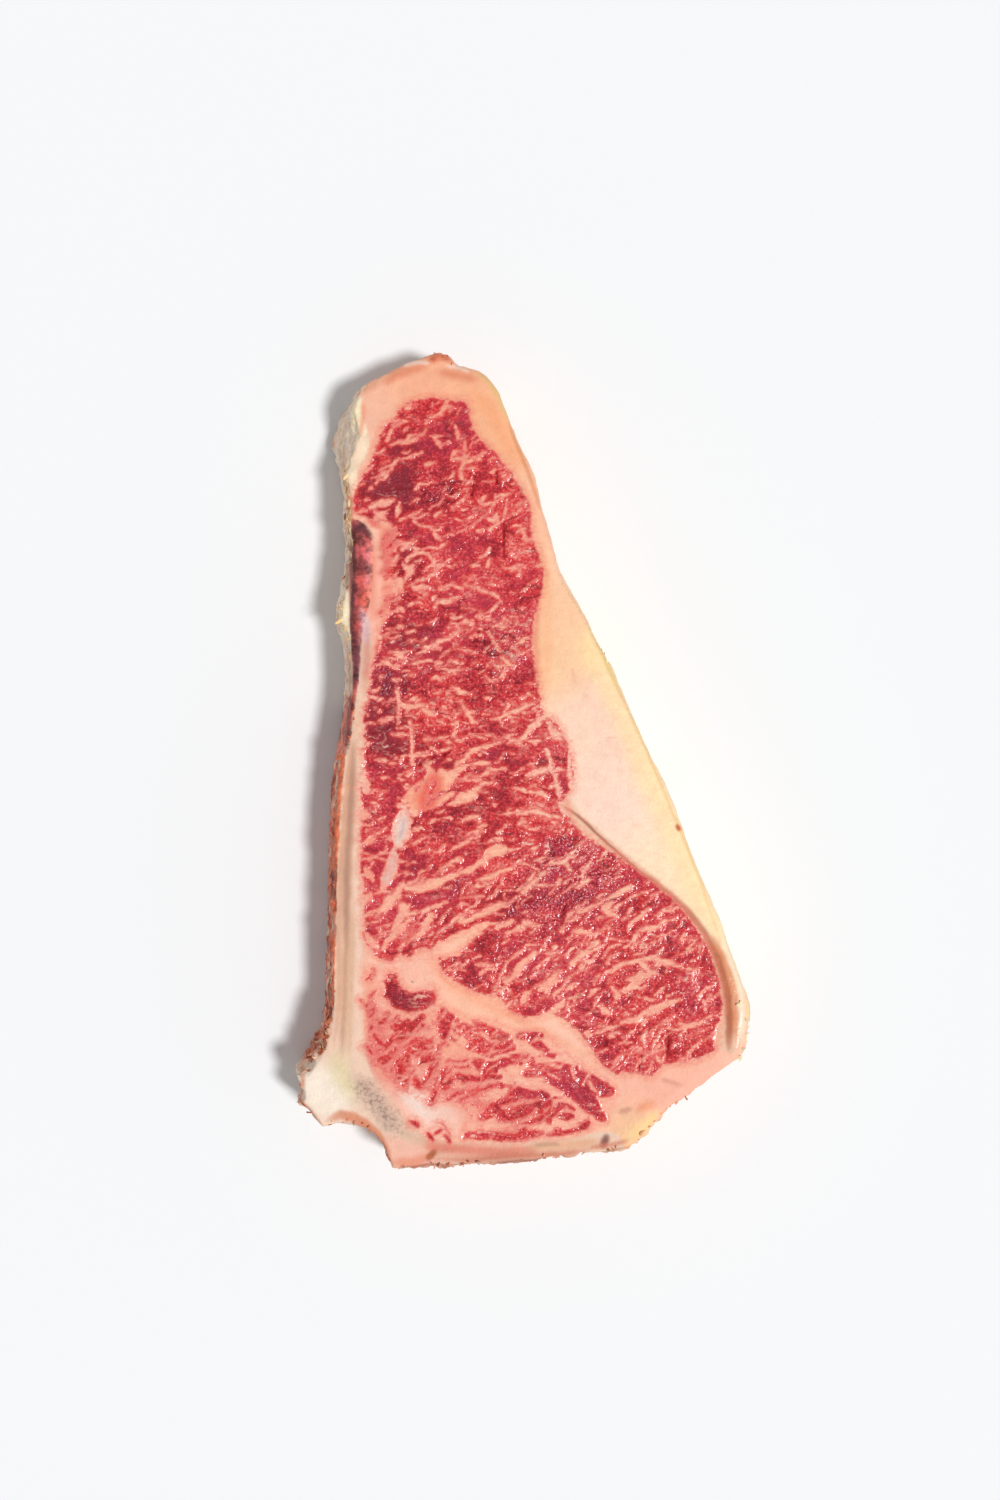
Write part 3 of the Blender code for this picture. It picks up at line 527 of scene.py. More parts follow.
def lattice(points, seed):
    """Random values on a unit lattice from -1 to 1, eased between its corners."""
    cell = np.floor(points).astype(np.int64)
    share = points - cell
    share = share * share * (3 - 2 * share)
    total = np.zeros(len(points))
    for corner in np.ndindex(2, 2, 2):
        x, y, z = (cell + corner).T
        mixed = (x * 73856093) ^ (y * 19349663) ^ (z * 83492791) ^ (seed * 2654435761)
        mixed = ((mixed ^ (mixed >> 13)) * 1274126177) & 0x7FFFFFFF
        value = ((mixed ^ (mixed >> 16)) & 0xFFFF) / 32767.5 - 1
        total += value * np.prod(np.where(corner, share, 1 - share), axis=1)
    return total


OCTAVE_FADE = 0.55  # height of each finer layer of a cloud to that of the one before
OCTAVE_SEEDS = 101  # keeps the layers of a cloud apart
CLOUD_GAIN = 1.5  # brings the sum of the layers back to about -1 to 1


def cloud(points, size, seed, octaves=3):
    """Cloudy random values of about -1 to 1 that vary over the given size."""
    total, height, full = 0, 1.0, 0.0
    for octave in range(octaves):
        total = total + height * lattice(points / size * 2**octave, seed + OCTAVE_SEEDS * octave)
        full += height
        height *= OCTAVE_FADE
    return total / full * CLOUD_GAIN


class Spots:
    """Places of the skin's points in the picture, sorted so that a small window is found quickly."""

    def __init__(self, places):
        self.places = places
        self.order = np.argsort(places[:, 1])
        self.rows = places[self.order, 1]

    def window(self, points, reach):
        low = np.min(points, axis=0) - reach
        high = np.max(points, axis=0) + reach
        first, last = np.searchsorted(self.rows, (low[1], high[1]))
        band = self.order[first:last]
        across = self.places[band, 0]
        return band[(across > low[0]) & (across < high[0])]


FAR = 9.0  # pixels past which a mark has no say
DAB_REACH = 2.2  # radii past which a dab has no say


def run_distance(places, points):
    """Distance of each place from a run of points, and how far along the run its nearest point is."""
    points = np.array(points, float)
    steps = np.linalg.norm(np.diff(points, axis=0), axis=1)
    total = steps.sum()
    best = np.full(len(places), np.inf)
    along = np.zeros(len(places))
    start = 0.0
    for first, second, step in zip(points[:-1], points[1:], steps):
        share = np.clip((places - first) @ (second - first) / step**2, 0, 1)
        distance = np.linalg.norm(places - first - share[:, None] * (second - first), axis=1)
        nearer = distance < best
        best[nearer] = distance[nearer]
        along[nearer] = (start + share[nearer] * step) / total
        start += step
    return best, along


def draw_marks(field, spots, marks, sign, reach_down=0.0, taper=0.55, swell=0.9):
    """Draws marks into a field of depths: sign 1 adds what they cover, and -1 takes it out.

    A mark is drawn at swell times its width, narrows by taper at its ends and loses reach_down all round.
    """
    worn = np.broadcast_to(reach_down, len(field))
    for width, *points in marks:
        near = spots.window(points, FAR)
        distance, along = run_distance(spots.places[near], points)
        half = width * swell / 2 * (1 - taper * (2 * along - 1) ** 2)
        depth = np.maximum(half - distance - worn[near], -FAR)
        field[near] = np.maximum(field[near], depth) if sign > 0 else np.minimum(field[near], -depth)


def dabs(spots, marks, count):
    """Sum of soft round dabs: each a strength, a radius in pixels and a place."""
    total = np.zeros(count)
    for strength, radius, place in marks:
        near = spots.window([place], DAB_REACH * radius)
        distance = np.linalg.norm(spots.places[near] - place, axis=1)
        total[near] += strength * np.exp(-((distance / radius) ** 2))
    return total


# How the fibres lie: the picture's rows, and the fibres' angle to them in degrees.
FIBRE_ROWS = (380, 560, 700, 820, 900, 960, 1100)
FIBRE_ANGLES = (38, 24, 14, 14, 32, 42, 46)


def fibre_slant(places):
    """Angle of the muscle fibres to the picture's rows: flat in the middle, steep at the broad end."""
    return np.radians(np.interp(places[:, 1], FIBRE_ROWS, FIBRE_ANGLES))


# ---------------------------------------------------------------- the skin


def new_object(name, bm):
    """Turns a bmesh into an object of the scene."""
    mesh = bpy.data.meshes.new(name)
    bm.to_mesh(mesh)
    bm.free()
    obj = bpy.data.objects.new(name, mesh)
    bpy.context.scene.collection.objects.link(obj)
    return obj


def solid_copy(node):
    """A merged copy of one solid, because the solids come as loose triangles."""
    bm = bmesh.new()
    bm.from_mesh(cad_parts[node].data)
    bmesh.ops.remove_doubles(bm, verts=bm.verts[:], dist=MERGE_REACH)
    return bm


def applied(obj, kind, **settings):
    """The object's mesh after one modifier."""
    modifier = obj.modifiers.new(kind, kind)
    for key, value in settings.items():
        setattr(modifier, key, value)
    graph = bpy.context.evaluated_depsgraph_get()
    mesh = bpy.data.meshes.new_from_object(obj.evaluated_get(graph))
    obj.modifiers.remove(modifier)
    return mesh


def remove(*objects):
    """Takes objects out of the file."""
    for obj in objects:
        bpy.data.objects.remove(obj, do_unlink=True)


CLOSE_GAP = 0.00025  # how far the solids are widened so that they meet
WALL_SLOPE = 0.6  # upward part of a normal under which a face is a side wall
CUT_HEIGHT = 0.004  # height at which the solids' plans are read
UNDERSIDE = 0.003  # what lies lower keeps the wide mesh step
PLAN_STEP = 0.0003  # spacing of the points along a plan
TOUCH = 0.0008  # outlines closer than this belong to neighbours
MERGE_REACH = 1e-6  # points closer than this are one


def widened(bm):
    """Moves the side walls out until neighbours overlap."""
    bm.normal_update()
    moves = []
    for vert in bm.verts:
        walls = [face.normal for face in vert.link_faces if abs(face.normal.z) < WALL_SLOPE]
        outward = sum(walls, Vector())
        outward.z = 0
        if outward.length > 0:
            moves.append((vert, outward.normalized() * CLOSE_GAP))
    for vert, move in moves:
        vert.co += move
    return bm


def make_skin(step):
    """One closed mesh round all the solids, in even squares."""
    solids = [new_object(node, widened(solid_copy(node))) for node in CUT_ORDER]
    whole = solids[0]
    for other in solids[1:]:
        whole.data = applied(whole, "BOOLEAN", operation="UNION", solver="MANIFOLD", object=other)
    whole.data = applied(whole, "REMESH", mode="VOXEL", voxel_size=step, adaptivity=0.0)
    bm = bmesh.new()
    bm.from_mesh(whole.data)
    remove(*solids)
    # A dictionary keeps the edges in order, where a set would give them in another order each run.
    shown = dict.fromkeys(
        edge for face in bm.faces if face.calc_center_median().z > UNDERSIDE for edge in face.edges)
    bmesh.ops.subdivide_edges(bm, edges=list(shown), cuts=1, use_grid_fill=True)
    return new_object("skin", bm)


def loops_of(node):
    """The outline of a solid and those of its holes, as points in metres."""
    bm = solid_copy(node)
    parts = bm.verts[:] + bm.edges[:] + bm.faces[:]
    bmesh.ops.bisect_plane(
        bm, geom=parts, plane_co=(0, 0, CUT_HEIGHT), plane_no=(0, 0, 1), clear_inner=True, clear_outer=True)
    left, loops = dict.fromkeys(bm.verts), []
    while left:
        loop = [left.popitem()[0]]
        while True:
            ahead = [edge.other_vert(loop[-1]) for edge in loop[-1].link_edges]
            ahead = [vert for vert in ahead if vert in left]
            if not ahead:
                break
            del left[ahead[0]]
            loop.append(ahead[0])
        loops.append(np.array([vert.co[:2] for vert in loop]))
    bm.free()
    return loops


def plan_of(node):
    """The outer outline of a solid, anticlockwise."""
    plan = max(loops_of(node), key=lambda loop: abs(plan_area(loop)))
    return plan if plan_area(plan) > 0 else plan[::-1]


def plan_area(loop):
    """Area of a closed plan: above 0 when it runs anticlockwise."""
    return 0.5 * np.sum(loop[:, 0] * np.roll(loop[:, 1], -1) - loop[:, 1] * np.roll(loop[:, 0], -1))


def sampled(plan):
    """Points along a closed plan, a small step apart."""
    after = np.roll(plan, -1, axis=0)
    runs = []
    for first, second in zip(plan, after):
        count = max(1, int(np.linalg.norm(second - first) / PLAN_STEP))
        share = np.arange(count)[:, None] / count
        runs.append(first + (second - first) * share)
    return np.concatenate(runs)


def tree_of(points):
    """A search tree over points, which lie at height 0 where they have no third value."""
    tree = KDTree(len(points))
    for index, point in enumerate(points):
        tree.insert((*point[:2], point[2] if len(point) > 2 else 0.0), index)
    tree.balance()
    return tree


def distances(tree, points):
    """Distance of each place in plan from the tree's nearest point."""
    return np.array([tree.find((x, y, 0.0))[2] for x, y in points])


def surface_of(meshes):
    """One search tree over the faces of several meshes, in an order that is the same each run."""
    corners, faces = [], []
    for mesh in meshes:
        first = len(corners)
        corners += [vert.co.copy() for vert in mesh.vertices]
        faces += sorted([first + index for index in polygon.vertices] for polygon in mesh.polygons)
    return BVHTree.FromPolygons(corners, faces)


def owners_of(points):
    """Which solid each point lies on, as its place in NODES."""
    meshes = [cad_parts[node].data for node in NODES]
    owners = [number for number, mesh in enumerate(meshes) for _ in mesh.polygons]
    surface = surface_of(meshes)
    return np.array([owners[surface.find_nearest(point)[2]] for point in points])


def depths_of(points, owners):
    """For each kind, how deep every point lies inside it in pixels, seen from above. Outside is negative."""
    outlines = {
        kind: np.concatenate([sampled(loop) for node in nodes for loop in loops_of(node)])
        for kind, nodes in KINDS.items()}
    depth = {}
    for kind, nodes in KINDS.items():
        inside = np.isin(owners, [NODES.index(node) for node in nodes])
        others = tree_of(np.concatenate([outlines[other] for other in KINDS if other != kind]))
        shared = outlines[kind][distances(others, outlines[kind]) < TOUCH]
        distance = distances(tree_of(shared), points[:, :2]) / PX
        depth[kind] = np.where(inside, distance, -distance)
    return depth


def coordinates(mesh, attribute="co"):
    """The places of a mesh's points, or their normals."""
    values = np.empty(len(mesh.vertices) * 3, np.float32)
    mesh.vertices.foreach_get(attribute, values)
    return values.reshape(-1, 3).astype(float)


def picture_places(points):
    """Where the eye of the picture sees each point, in pixels."""
    scale = (EYE.z - points[:, 2]) * METRES_PER_PX_PER_METRE
    across = MIDDLE_PX[0] + (points[:, 0] - EYE.x) / scale
    down = MIDDLE_PX[1] - (points[:, 1] - EYE.y) / scale
    return np.stack([across, down], axis=1)


FLECK_AREA = (350, 390), (745, 1080)  # pixels between which the flecks lie
FLECK_LENGTH = 1.95, 0.6  # middle and spread of the logarithm of a fleck's length in pixels
FLECK_WIDTH = -0.7, 2.4  # pixels; what comes out under 0 only thins the lean
FLECK_STRAY = 0.35  # radians off the fibres
FLECK_BEND = 0.12  # how far a fleck's middle stands aside, as a part of its length


def random_flecks(rng, count, corner, opposite):
    """Small fat flecks that lie along the fibres: each a width and the points of its run."""
    flecks = []
    places = rng.uniform(corner, opposite, (count, 2))
    slants = fibre_slant(places) + rng.normal(0, FLECK_STRAY, count)
    broad_end = smooth(places[:, 1], 800, 900)  # where flecks are longer and thinner
    lengths = rng.lognormal(*FLECK_LENGTH, count) * (1 + 0.7 * broad_end)
    widths = rng.uniform(*FLECK_WIDTH, count) - 0.4 * broad_end
    bends = rng.normal(0, FLECK_BEND, count)
    for place, slant, run, width, bend in zip(places, slants, lengths, widths, bends):
        along = np.array([math.cos(slant), -math.sin(slant)]) * run / 2
        aside = np.array([along[1], -along[0]]) * bend * 2
        flecks.append((width, place - along, place + aside, place + along))
    return flecks


# What the materials read at each point, and how each kind of value is kept.
FIELDS = {"lean": "FLOAT", "tint": "FLOAT_COLOR", "look": "FLOAT_VECTOR", "crack_shade_and_specks": "FLOAT"}
VALUES = {"FLOAT": ("value", 1), "FLOAT_VECTOR": ("vector", 3), "FLOAT_COLOR": ("color", 4)}


def store(mesh, name, values):
    """Keeps one field on a mesh."""
    kind = FIELDS[name]
    attribute = mesh.attributes.new(name, kind, "POINT")
    attribute.data.foreach_set(VALUES[kind][0], np.ascontiguousarray(values, np.float32).ravel())


PLAIN_SAY = 0.05  # weight of the plain colour of fat against the dabs
FAT_DAB_REACH = 2.6  # radii past which a dab of fat colour has no say
FAT_DAB_FALL = 1.6  # how steeply it fades towards there


def fat_colour(spots, count, plain):
    """The colour of fat at each point, mixed from the dabs by how near they are."""
    total = np.tile(np.array(plain) * PLAIN_SAY, (count, 1))
    weight = np.full(count, PLAIN_SAY)
    for shade, radius, place in FAT_DABS:
        near = spots.window([place], FAT_DAB_REACH * radius)
        distance = np.linalg.norm(spots.places[near] - place, axis=1)
        share = np.exp(-((distance / radius) ** 2) * FAT_DAB_FALL)
        total[near] += share[:, None] * np.array(seen(*shade))
        weight[near] += share
    return total / weight[:, None]


ROUND_EDGE = 0.002  # under the upper face, the part that still counts as top
WEAR = 0.35  # how much narrower marks get for each pixel down the side wall


class Surface:
    """What the painting reads of the skin's points."""

    def __init__(self, mesh, seed):
        self.seed = seed
        self.points, self.normals = coordinates(mesh), coordinates(mesh, "normal")
        self.count = len(self.points)
        upward = self.normals[:, 2]
        self.facing_up = smooth(upward, 0.3, 0.8)
        self.wall = 1 - smooth(np.abs(upward), 0.35, 0.8)
        self.lower = self.points[:, 2] < THICKNESS / 2
        down_px = np.maximum(0, THICKNESS - ROUND_EDGE - self.points[:, 2]) / PX
        self.worn = WEAR * down_px
        self.low_wall = self.wall * smooth(down_px, 3, 16)
        gaze = np.array(EYE) - self.points
        facing_eye = np.sum(self.normals * gaze, axis=1) / np.linalg.norm(gaze, axis=1)
        hidden = smooth(facing_eye, 0.1, -0.1) * smooth(upward, -0.8, -0.4) * smooth(down_px, 2, 16)
        self.shown = 1 - 0.85 * hidden
        self.places = picture_places(self.points)
        self.wobble = np.stack([self.cloud(0.004, 1), self.cloud(0.004, 2)], axis=1)
        self.spots = Spots(self.places + 2.0 * self.wobble)
        self.steady = Spots(self.places)
        self.owners = owners_of(self.points)
        self.depth = depths_of(self.points, self.owners)

    def cloud(self, size, part, octaves=3, stretch=(1, 1, 1)):
        """Cloudy random values. The part is a number that keeps one use apart from the others."""
        return cloud(self.points * stretch, size, self.seed + part, octaves)

    def on(self, node):
        return self.owners == NODES.index(node)


def lean_depth(surface, fleck_count):
    """How deep each point lies in lean, in pixels. Under 0 lies fat, bone or skin."""
    across, down = surface.places.T
    ragged = 0.4 + 0.8 * smooth(surface.cloud(0.02, 3), -0.2, 0.8)
    ragged += 1.4 * smooth(across, 430, 380) + 0.8 * smooth(down, 980, 1010)
    ragged += 1.2 * smooth(down, 440, 410) + dabs(surface.steady, FRAYED, surface.count)
    lean = surface.depth["lean"] + ragged * surface.cloud(0.0034, 4)
    lean = small_muscles(surface, lean)
    draw_marks(lean, surface.spots, FINE_LOIN_FAT, -1, surface.worn, swell=0.42)
    draw_marks(lean, surface.spots, LOIN_FAT, -1, surface.worn, swell=0.72)
    draw_marks(lean, surface.spots, LOIN_EDGE_FAT + CORNER_FAT, -1, surface.worn)
    draw_marks(lean, surface.spots, LEAN_IN_FAT, 1, surface.worn, taper=0.3)
    bled = np.minimum(lean + 8.5 * dabs(surface.spots, BLOODIED, surface.count), 0.4)
    near_fat = surface.depth["lean"] + surface.depth["fat"] > -8
    lean = np.where((lean < bled) & near_fat, bled, lean)
    rng = np.random.default_rng(surface.seed)
    for low_half in (False, True):
        flecked = lean.copy()
        draw_marks(flecked, surface.spots, random_flecks(rng, fleck_count, *FLECK_AREA), -1, taper=0.85)
        lean = np.where((surface.lower == low_half) & ~surface.on("corner_muscle"), flecked, lean)
    return lean


def small_muscles(surface, lean):
    """Breaks the muscle at the broad end into a net of lean and fat, and adds the listed bundles."""
    within = surface.on("lower_muscle")
    net = np.abs(cloud(surface.points[within] * (1, 1.3, 1), 0.0075, surface.seed + 5))
    amount = dabs(Spots(surface.places[within]), CORNER_AMOUNT, within.sum())
    lean[within] = np.minimum(lean[within], np.clip(amount - 6.5 + 12 * net, -8, 3))
    bundles = np.full(surface.count, -FAR)
    draw_marks(bundles, surface.spots, CORNER_LEAN, 1, surface.worn, taper=0.35)
    return np.where(within | (surface.depth["lean"] < 0), np.maximum(lean, bundles + 0.9), lean)


# How many pixels the colour of each kind runs past its border.
SOFTNESS = {"fat": 1.5, "bone": 1.6, "skin": 2.0, "membrane": 1.2, "scraps": 1.2, "sinew": 3.0}


def tissue_colour(surface, colours):
    """The colour of what isn't lean, with soft borders that stray more down the side wall."""
    fat = fat_colour(surface.steady, surface.count, colours.fat)
    tint, weight = np.zeros((surface.count, 3)), np.zeros(surface.count)
    stray = surface.cloud(0.003, 6, 4)
    for part, (kind, soft) in enumerate(SOFTNESS.items()):
        inside = surface.depth[kind]
        if kind == "fat":
            inside = np.maximum(inside, surface.depth["lean"])
        drift = 13 * surface.low_wall * surface.cloud(0.011, 40 + part)
        share = smooth(inside + 1.2 * stray + drift, -soft, soft) + 1e-6
        shade = fat if kind == "fat" else np.array(getattr(colours, kind))
        tint += share[:, None] * shade
        weight += share
    return tint / weight[:, None]


def add_strokes(surface, tint):
    """Draws the strokes of colour on what the eye of the picture sees."""
    swayed = Spots(surface.places + 0.7 * surface.wobble)
    for shade, strength, width, soft, *run in TINT_STROKES:
        near = swayed.window(run, width + soft)
        distance, along = run_distance(swayed.places[near], run)
        length = np.linalg.norm(np.diff(run, axis=0), axis=1).sum()
        fade = 1 - 0.6 * min(1, length / (6 * width)) * (2 * along - 1) ** 6
        edge = smooth(width / 2 * fade - distance, -soft / 2, soft / 2)
        share = strength * fade * edge * surface.shown[near]
        tint[near] += share[:, None] * (np.array(seen(*shade)) - tint[near])


def add_wall_clouds(surface, tint):
    """Breaks up the colours of the side wall, which the picture hardly shows."""
    wall, depth = surface.low_wall, surface.depth
    reach = {
        "any": 1 - surface.shown,
        "skin": 0.8 * wall * smooth(depth["skin"], -2, 2),
        "scraps": (0.5 + 0.5 * wall) * (1 - surface.facing_up) * smooth(depth["scraps"], -2, 2),
    }
    for part, (where, shade, low, high, size) in enumerate(WALL_CLOUDS):
        share = reach[where] * smooth(surface.cloud(size, 16 + part, 4, (1, 1, 1.7)), low, high)
        tint += share[:, None] * (np.array(seen(*shade)) - tint)


def lean_look(surface):
    """For each point the lean's tone, its fibres' slant (0 flat, 1 steep, 2 netted) and its wetness,
    which smooths the lean, ripples its coat and says where a sheen is painted.
    """
    across, down = surface.places.T
    lower = surface.lower
    tone = dabs(surface.spots, LEAN_TONES, surface.count)
    tone[lower] = 0.6 * cloud(surface.points[lower], 0.018, surface.seed + 7)
    slant = smooth(np.degrees(fibre_slant(surface.places)), 15, 44)
    netted = np.maximum(surface.on("lower_muscle"), smooth(down - 0.25 * across, 885, 900))
    slant += (2.0 - slant) * netted
    wet = dabs(surface.spots, WET, surface.count) * surface.facing_up + 0.25 * surface.cloud(0.012, 8)
    return tone, slant, np.clip(wet, 0, 1)


LEAN_SINK = 0.00018  # how far the lean lies under the fat
FLAT_FOOT = 0.0015  # height over which the relief grows from the flat underside


def relief(surface, lean, crack_shade_and_specks, sizes):
    """How far each point is raised along its normal."""
    wall, depth = surface.wall, surface.depth
    meat = smooth(lean, -1.0, 1.0)
    rise = sizes.lean_relief * meat * (0.7 * surface.cloud(0.006, 9) + 0.5 * surface.cloud(0.002, 10))
    rise += sizes.fat_relief * (1 - meat) * 0.7 * surface.cloud(0.012, 11)
    rise -= LEAN_SINK * smooth(lean, 0.0, 3.0) * surface.facing_up
    rise -= sizes.crack_depth * crack_shade_and_specks * surface.facing_up
    folds = 0.7 * surface.cloud(0.009, 12, stretch=(1, 1, 2.6)) + 0.4 * surface.cloud(0.003, 13)
    rise += sizes.wall_relief * wall * folds
    torn = 0.6 * smooth(depth["scraps"], -3, 1) + 0.7 * smooth(depth["skin"], -2, 1) * wall
    torn += np.clip(dabs(surface.steady, RIMS, surface.count), 0, 1) * wall
    rise += sizes.torn_relief * torn * surface.cloud(0.0026, 14, 2)
    return rise * smooth(surface.points[:, 2], 0.0, FLAT_FOOT)


def paint_skin(skin, sizes, colours):
    """Stores on the skin where it is lean, how it is coloured and how it shines, and raises its relief."""
    mesh = skin.data
    surface = Surface(mesh, sizes.seed)
    lean = lean_depth(surface, sizes.fleck_count)
    tint = tissue_colour(surface, colours)
    add_strokes(surface, tint)
    add_wall_clouds(surface, tint)
    crack = np.full(surface.count, -FAR)
    draw_marks(crack, surface.spots, CRACKS, 1, surface.worn, taper=0.8)
    # The cracks darken the lean's colour: painted shade.
    crack_shade_and_specks = smooth(crack, -1.0, 0.8)
    specks = np.clip(dabs(surface.steady, SPECKS, surface.count), 0, 1)
    raised = surface.points + surface.normals * relief(surface, lean, crack_shade_and_specks, sizes)[:, None]
    mesh.vertices.foreach_set("co", raised.astype(np.float32).ravel())
    mesh.update()
    store(mesh, "lean", lean)
    store(mesh, "tint", np.column_stack([tint, np.ones(surface.count)]))
    store(mesh, "look", np.column_stack(lean_look(surface)))
    # In the lean this holds the painted shade of the cracks, elsewhere the real dark specks.
    store(mesh, "crack_shade_and_specks", np.where(lean > 0, crack_shade_and_specks, specks))


CUT_PAST = 0.004  # how far a cutter stands out past the steak's own outline
CUT_OVERLAP = 0.0002  # how far it reaches over a neighbour
SHARP = math.radians(55)  # edges sharper than this stay sharp


def cutter_over(node, plans):
    """An upright solid over a solid's plan, pushed out where the plan is the steak's own outline."""
    plan = plans[node]
    others = tree_of(np.concatenate([sampled(plans[other]) for other in CUT_ORDER if other != node]))
    outer = distances(others, plan) > TOUCH
    along = np.roll(plan, -1, axis=0) - np.roll(plan, 1, axis=0)
    along /= np.linalg.norm(along, axis=1, keepdims=True)
    own = tree_of(sampled(plan))
    push = np.where(outer, CUT_PAST, CUT_OVERLAP)
    plan = plan + np.stack([along[:, 1], -along[:, 0]], axis=1) * push[:, None]
    plan = plan[distances(own, plan) > 0.6 * push]
    bm = bmesh.new()
    face = bm.faces.new([bm.verts.new((x, y, -THICKNESS)) for x, y in plan])
    raised = bmesh.ops.extrude_face_region(bm, geom=[face])["geom"]
    tops = [item for item in raised if isinstance(item, bmesh.types.BMVert)]
    bmesh.ops.translate(bm, verts=tops, vec=(0, 0, 3 * THICKNESS))
    bmesh.ops.triangulate(bm, faces=bm.faces[:])
    bmesh.ops.recalc_face_normals(bm, faces=bm.faces[:])
    return new_object("cutter", bm)


def cut_skin(skin):
    """Cuts the skin into one closed piece for each solid, named after it."""
    plans = {node: plan_of(node) for node in CUT_ORDER}
    rest = skin
    source = skin.data.copy()
    for node in CUT_ORDER[:-1]:
        cutter = cutter_over(node, plans)
        settings = dict(solver="MANIFOLD", object=cutter)
        inside = applied(rest, "BOOLEAN", operation="INTERSECT", **settings)
        piece = bpy.data.objects.new("raw_" + node, inside)
        bpy.context.scene.collection.objects.link(piece)
        rest.data = applied(rest, "BOOLEAN", operation="DIFFERENCE", **settings)
        remove(cutter)
    rest.name = "raw_" + CUT_ORDER[-1]
    carry_fields(source, [bpy.data.objects["raw_" + node] for node in CUT_ORDER])


def carry_fields(source, pieces):
    """Gives each piece the fields of the skin's nearest point."""
    tree = tree_of(coordinates(source))
    arrays = {}
    for name, kind in FIELDS.items():
        key, width = VALUES[kind]
        values = np.empty(len(source.vertices) * width, np.float32)
        source.attributes[name].data.foreach_get(key, values)
        arrays[name] = values.reshape(-1, width)
    for piece in pieces:
        mesh = piece.data
        for name in FIELDS:
            if name in mesh.attributes:
                mesh.attributes.remove(mesh.attributes[name])
        nearest = np.array([tree.find(vert.co)[1] for vert in mesh.vertices])
        for name in FIELDS:
            store(mesh, name, arrays[name][nearest])
        mesh.shade_smooth()
        mesh.set_sharp_from_angle(angle=SHARP)
        mesh.materials.clear()


# ---------------------------------------------------------------- shreds


SHRED_DROP = 0.3  # part of the thickness down which shreds grow
SHRED_CROWD = 2.5  # how strongly they crowd at the top
SHRED_STRAY = 0.3  # how far they turn away from lying along the edge
SHRED_HALF_THICKNESS = 0.0002
SHRED_RELIEF = 0.0003  # how far their points are moved about
SHRED_SEEDS = 20  # keeps their clouds apart from those of the skin


def eye_point(place, height):
    """The point at a height that the eye of the picture sees at a place in pixels."""
    scale = (EYE.z - height) * METRES_PER_PX_PER_METRE
    across, down = place[0] - MIDDLE_PX[0], place[1] - MIDDLE_PX[1]
    return Vector((EYE.x + across * scale, EYE.y - down * scale, height))


def grow_shreds(name, runs, seed):
    """All the shreds of one kind as one mesh of thin flakes, rooted in the nearest surface."""
    surface = surface_of([bpy.data.objects["raw_" + node].data for node in SHRED_HOSTS])
    rng = np.random.default_rng(seed)
    bm, shades = bmesh.new(), []
    for count, length, lift, shade, *run in runs:
        run = np.array(run, float)
        reach = np.concatenate([[0], np.cumsum(np.linalg.norm(np.diff(run, axis=0), axis=1))])
        for far in rng.uniform(0, reach[-1], count):
            spot = np.array([np.interp(far, reach, run[:, 0]), np.interp(far, reach, run[:, 1])])
            height = THICKNESS * (1 - SHRED_DROP * rng.uniform() ** SHRED_CROWD)
            root, outward, *_ = surface.find_nearest(eye_point(spot, height))
            sideways = outward.cross(Vector((0, 0, 1))) * rng.choice((-1, 1))
            direction = sideways + outward * rng.normal(lift, 0.25) + Vector(rng.normal(0, SHRED_STRAY, 3))
            direction.normalize()
            flat = (outward + Vector(rng.normal(0, SHRED_STRAY, 3))).cross(direction).normalized()
            turn = Matrix((direction, flat, direction.cross(flat))).transposed().to_4x4()
            long = length * rng.uniform(0.5, 1.5)
            sizes = Matrix.Diagonal((long / 2, long * rng.uniform(0.12, 0.3), SHRED_HALF_THICKNESS, 1.0))
            place = Matrix.Translation(root + direction * 0.3 * long)
            made = bmesh.ops.create_icosphere(
                bm, subdivisions=2, radius=1.0, matrix=place @ turn @ sizes)["verts"]
            shades += [np.array(seen(*shade)) * rng.uniform(0.75, 1.15)] * len(made)
    shreds = new_object(name, bm)
    points = coordinates(shreds.data)
    ragged = [cloud(points, 0.0011, seed + SHRED_SEEDS + axis, 2) for axis in range(3)]
    points += SHRED_RELIEF * np.stack(ragged, axis=1)
    points[:, 2] = np.maximum(points[:, 2], SHRED_HALF_THICKNESS)
    shreds.data.vertices.foreach_set("co", points.astype(np.float32).ravel())
    count = len(points)
    store(shreds.data, "lean", np.full(count, -FAR))
    store(shreds.data, "tint", np.column_stack([np.clip(shades, 0, 1), np.ones(count)]))
    store(shreds.data, "look", np.zeros((count, 3)))
    store(shreds.data, "crack_shade_and_specks", np.zeros(count))
    shreds.data.shade_smooth()
    return shreds


# ---------------------------------------------------------------- materials


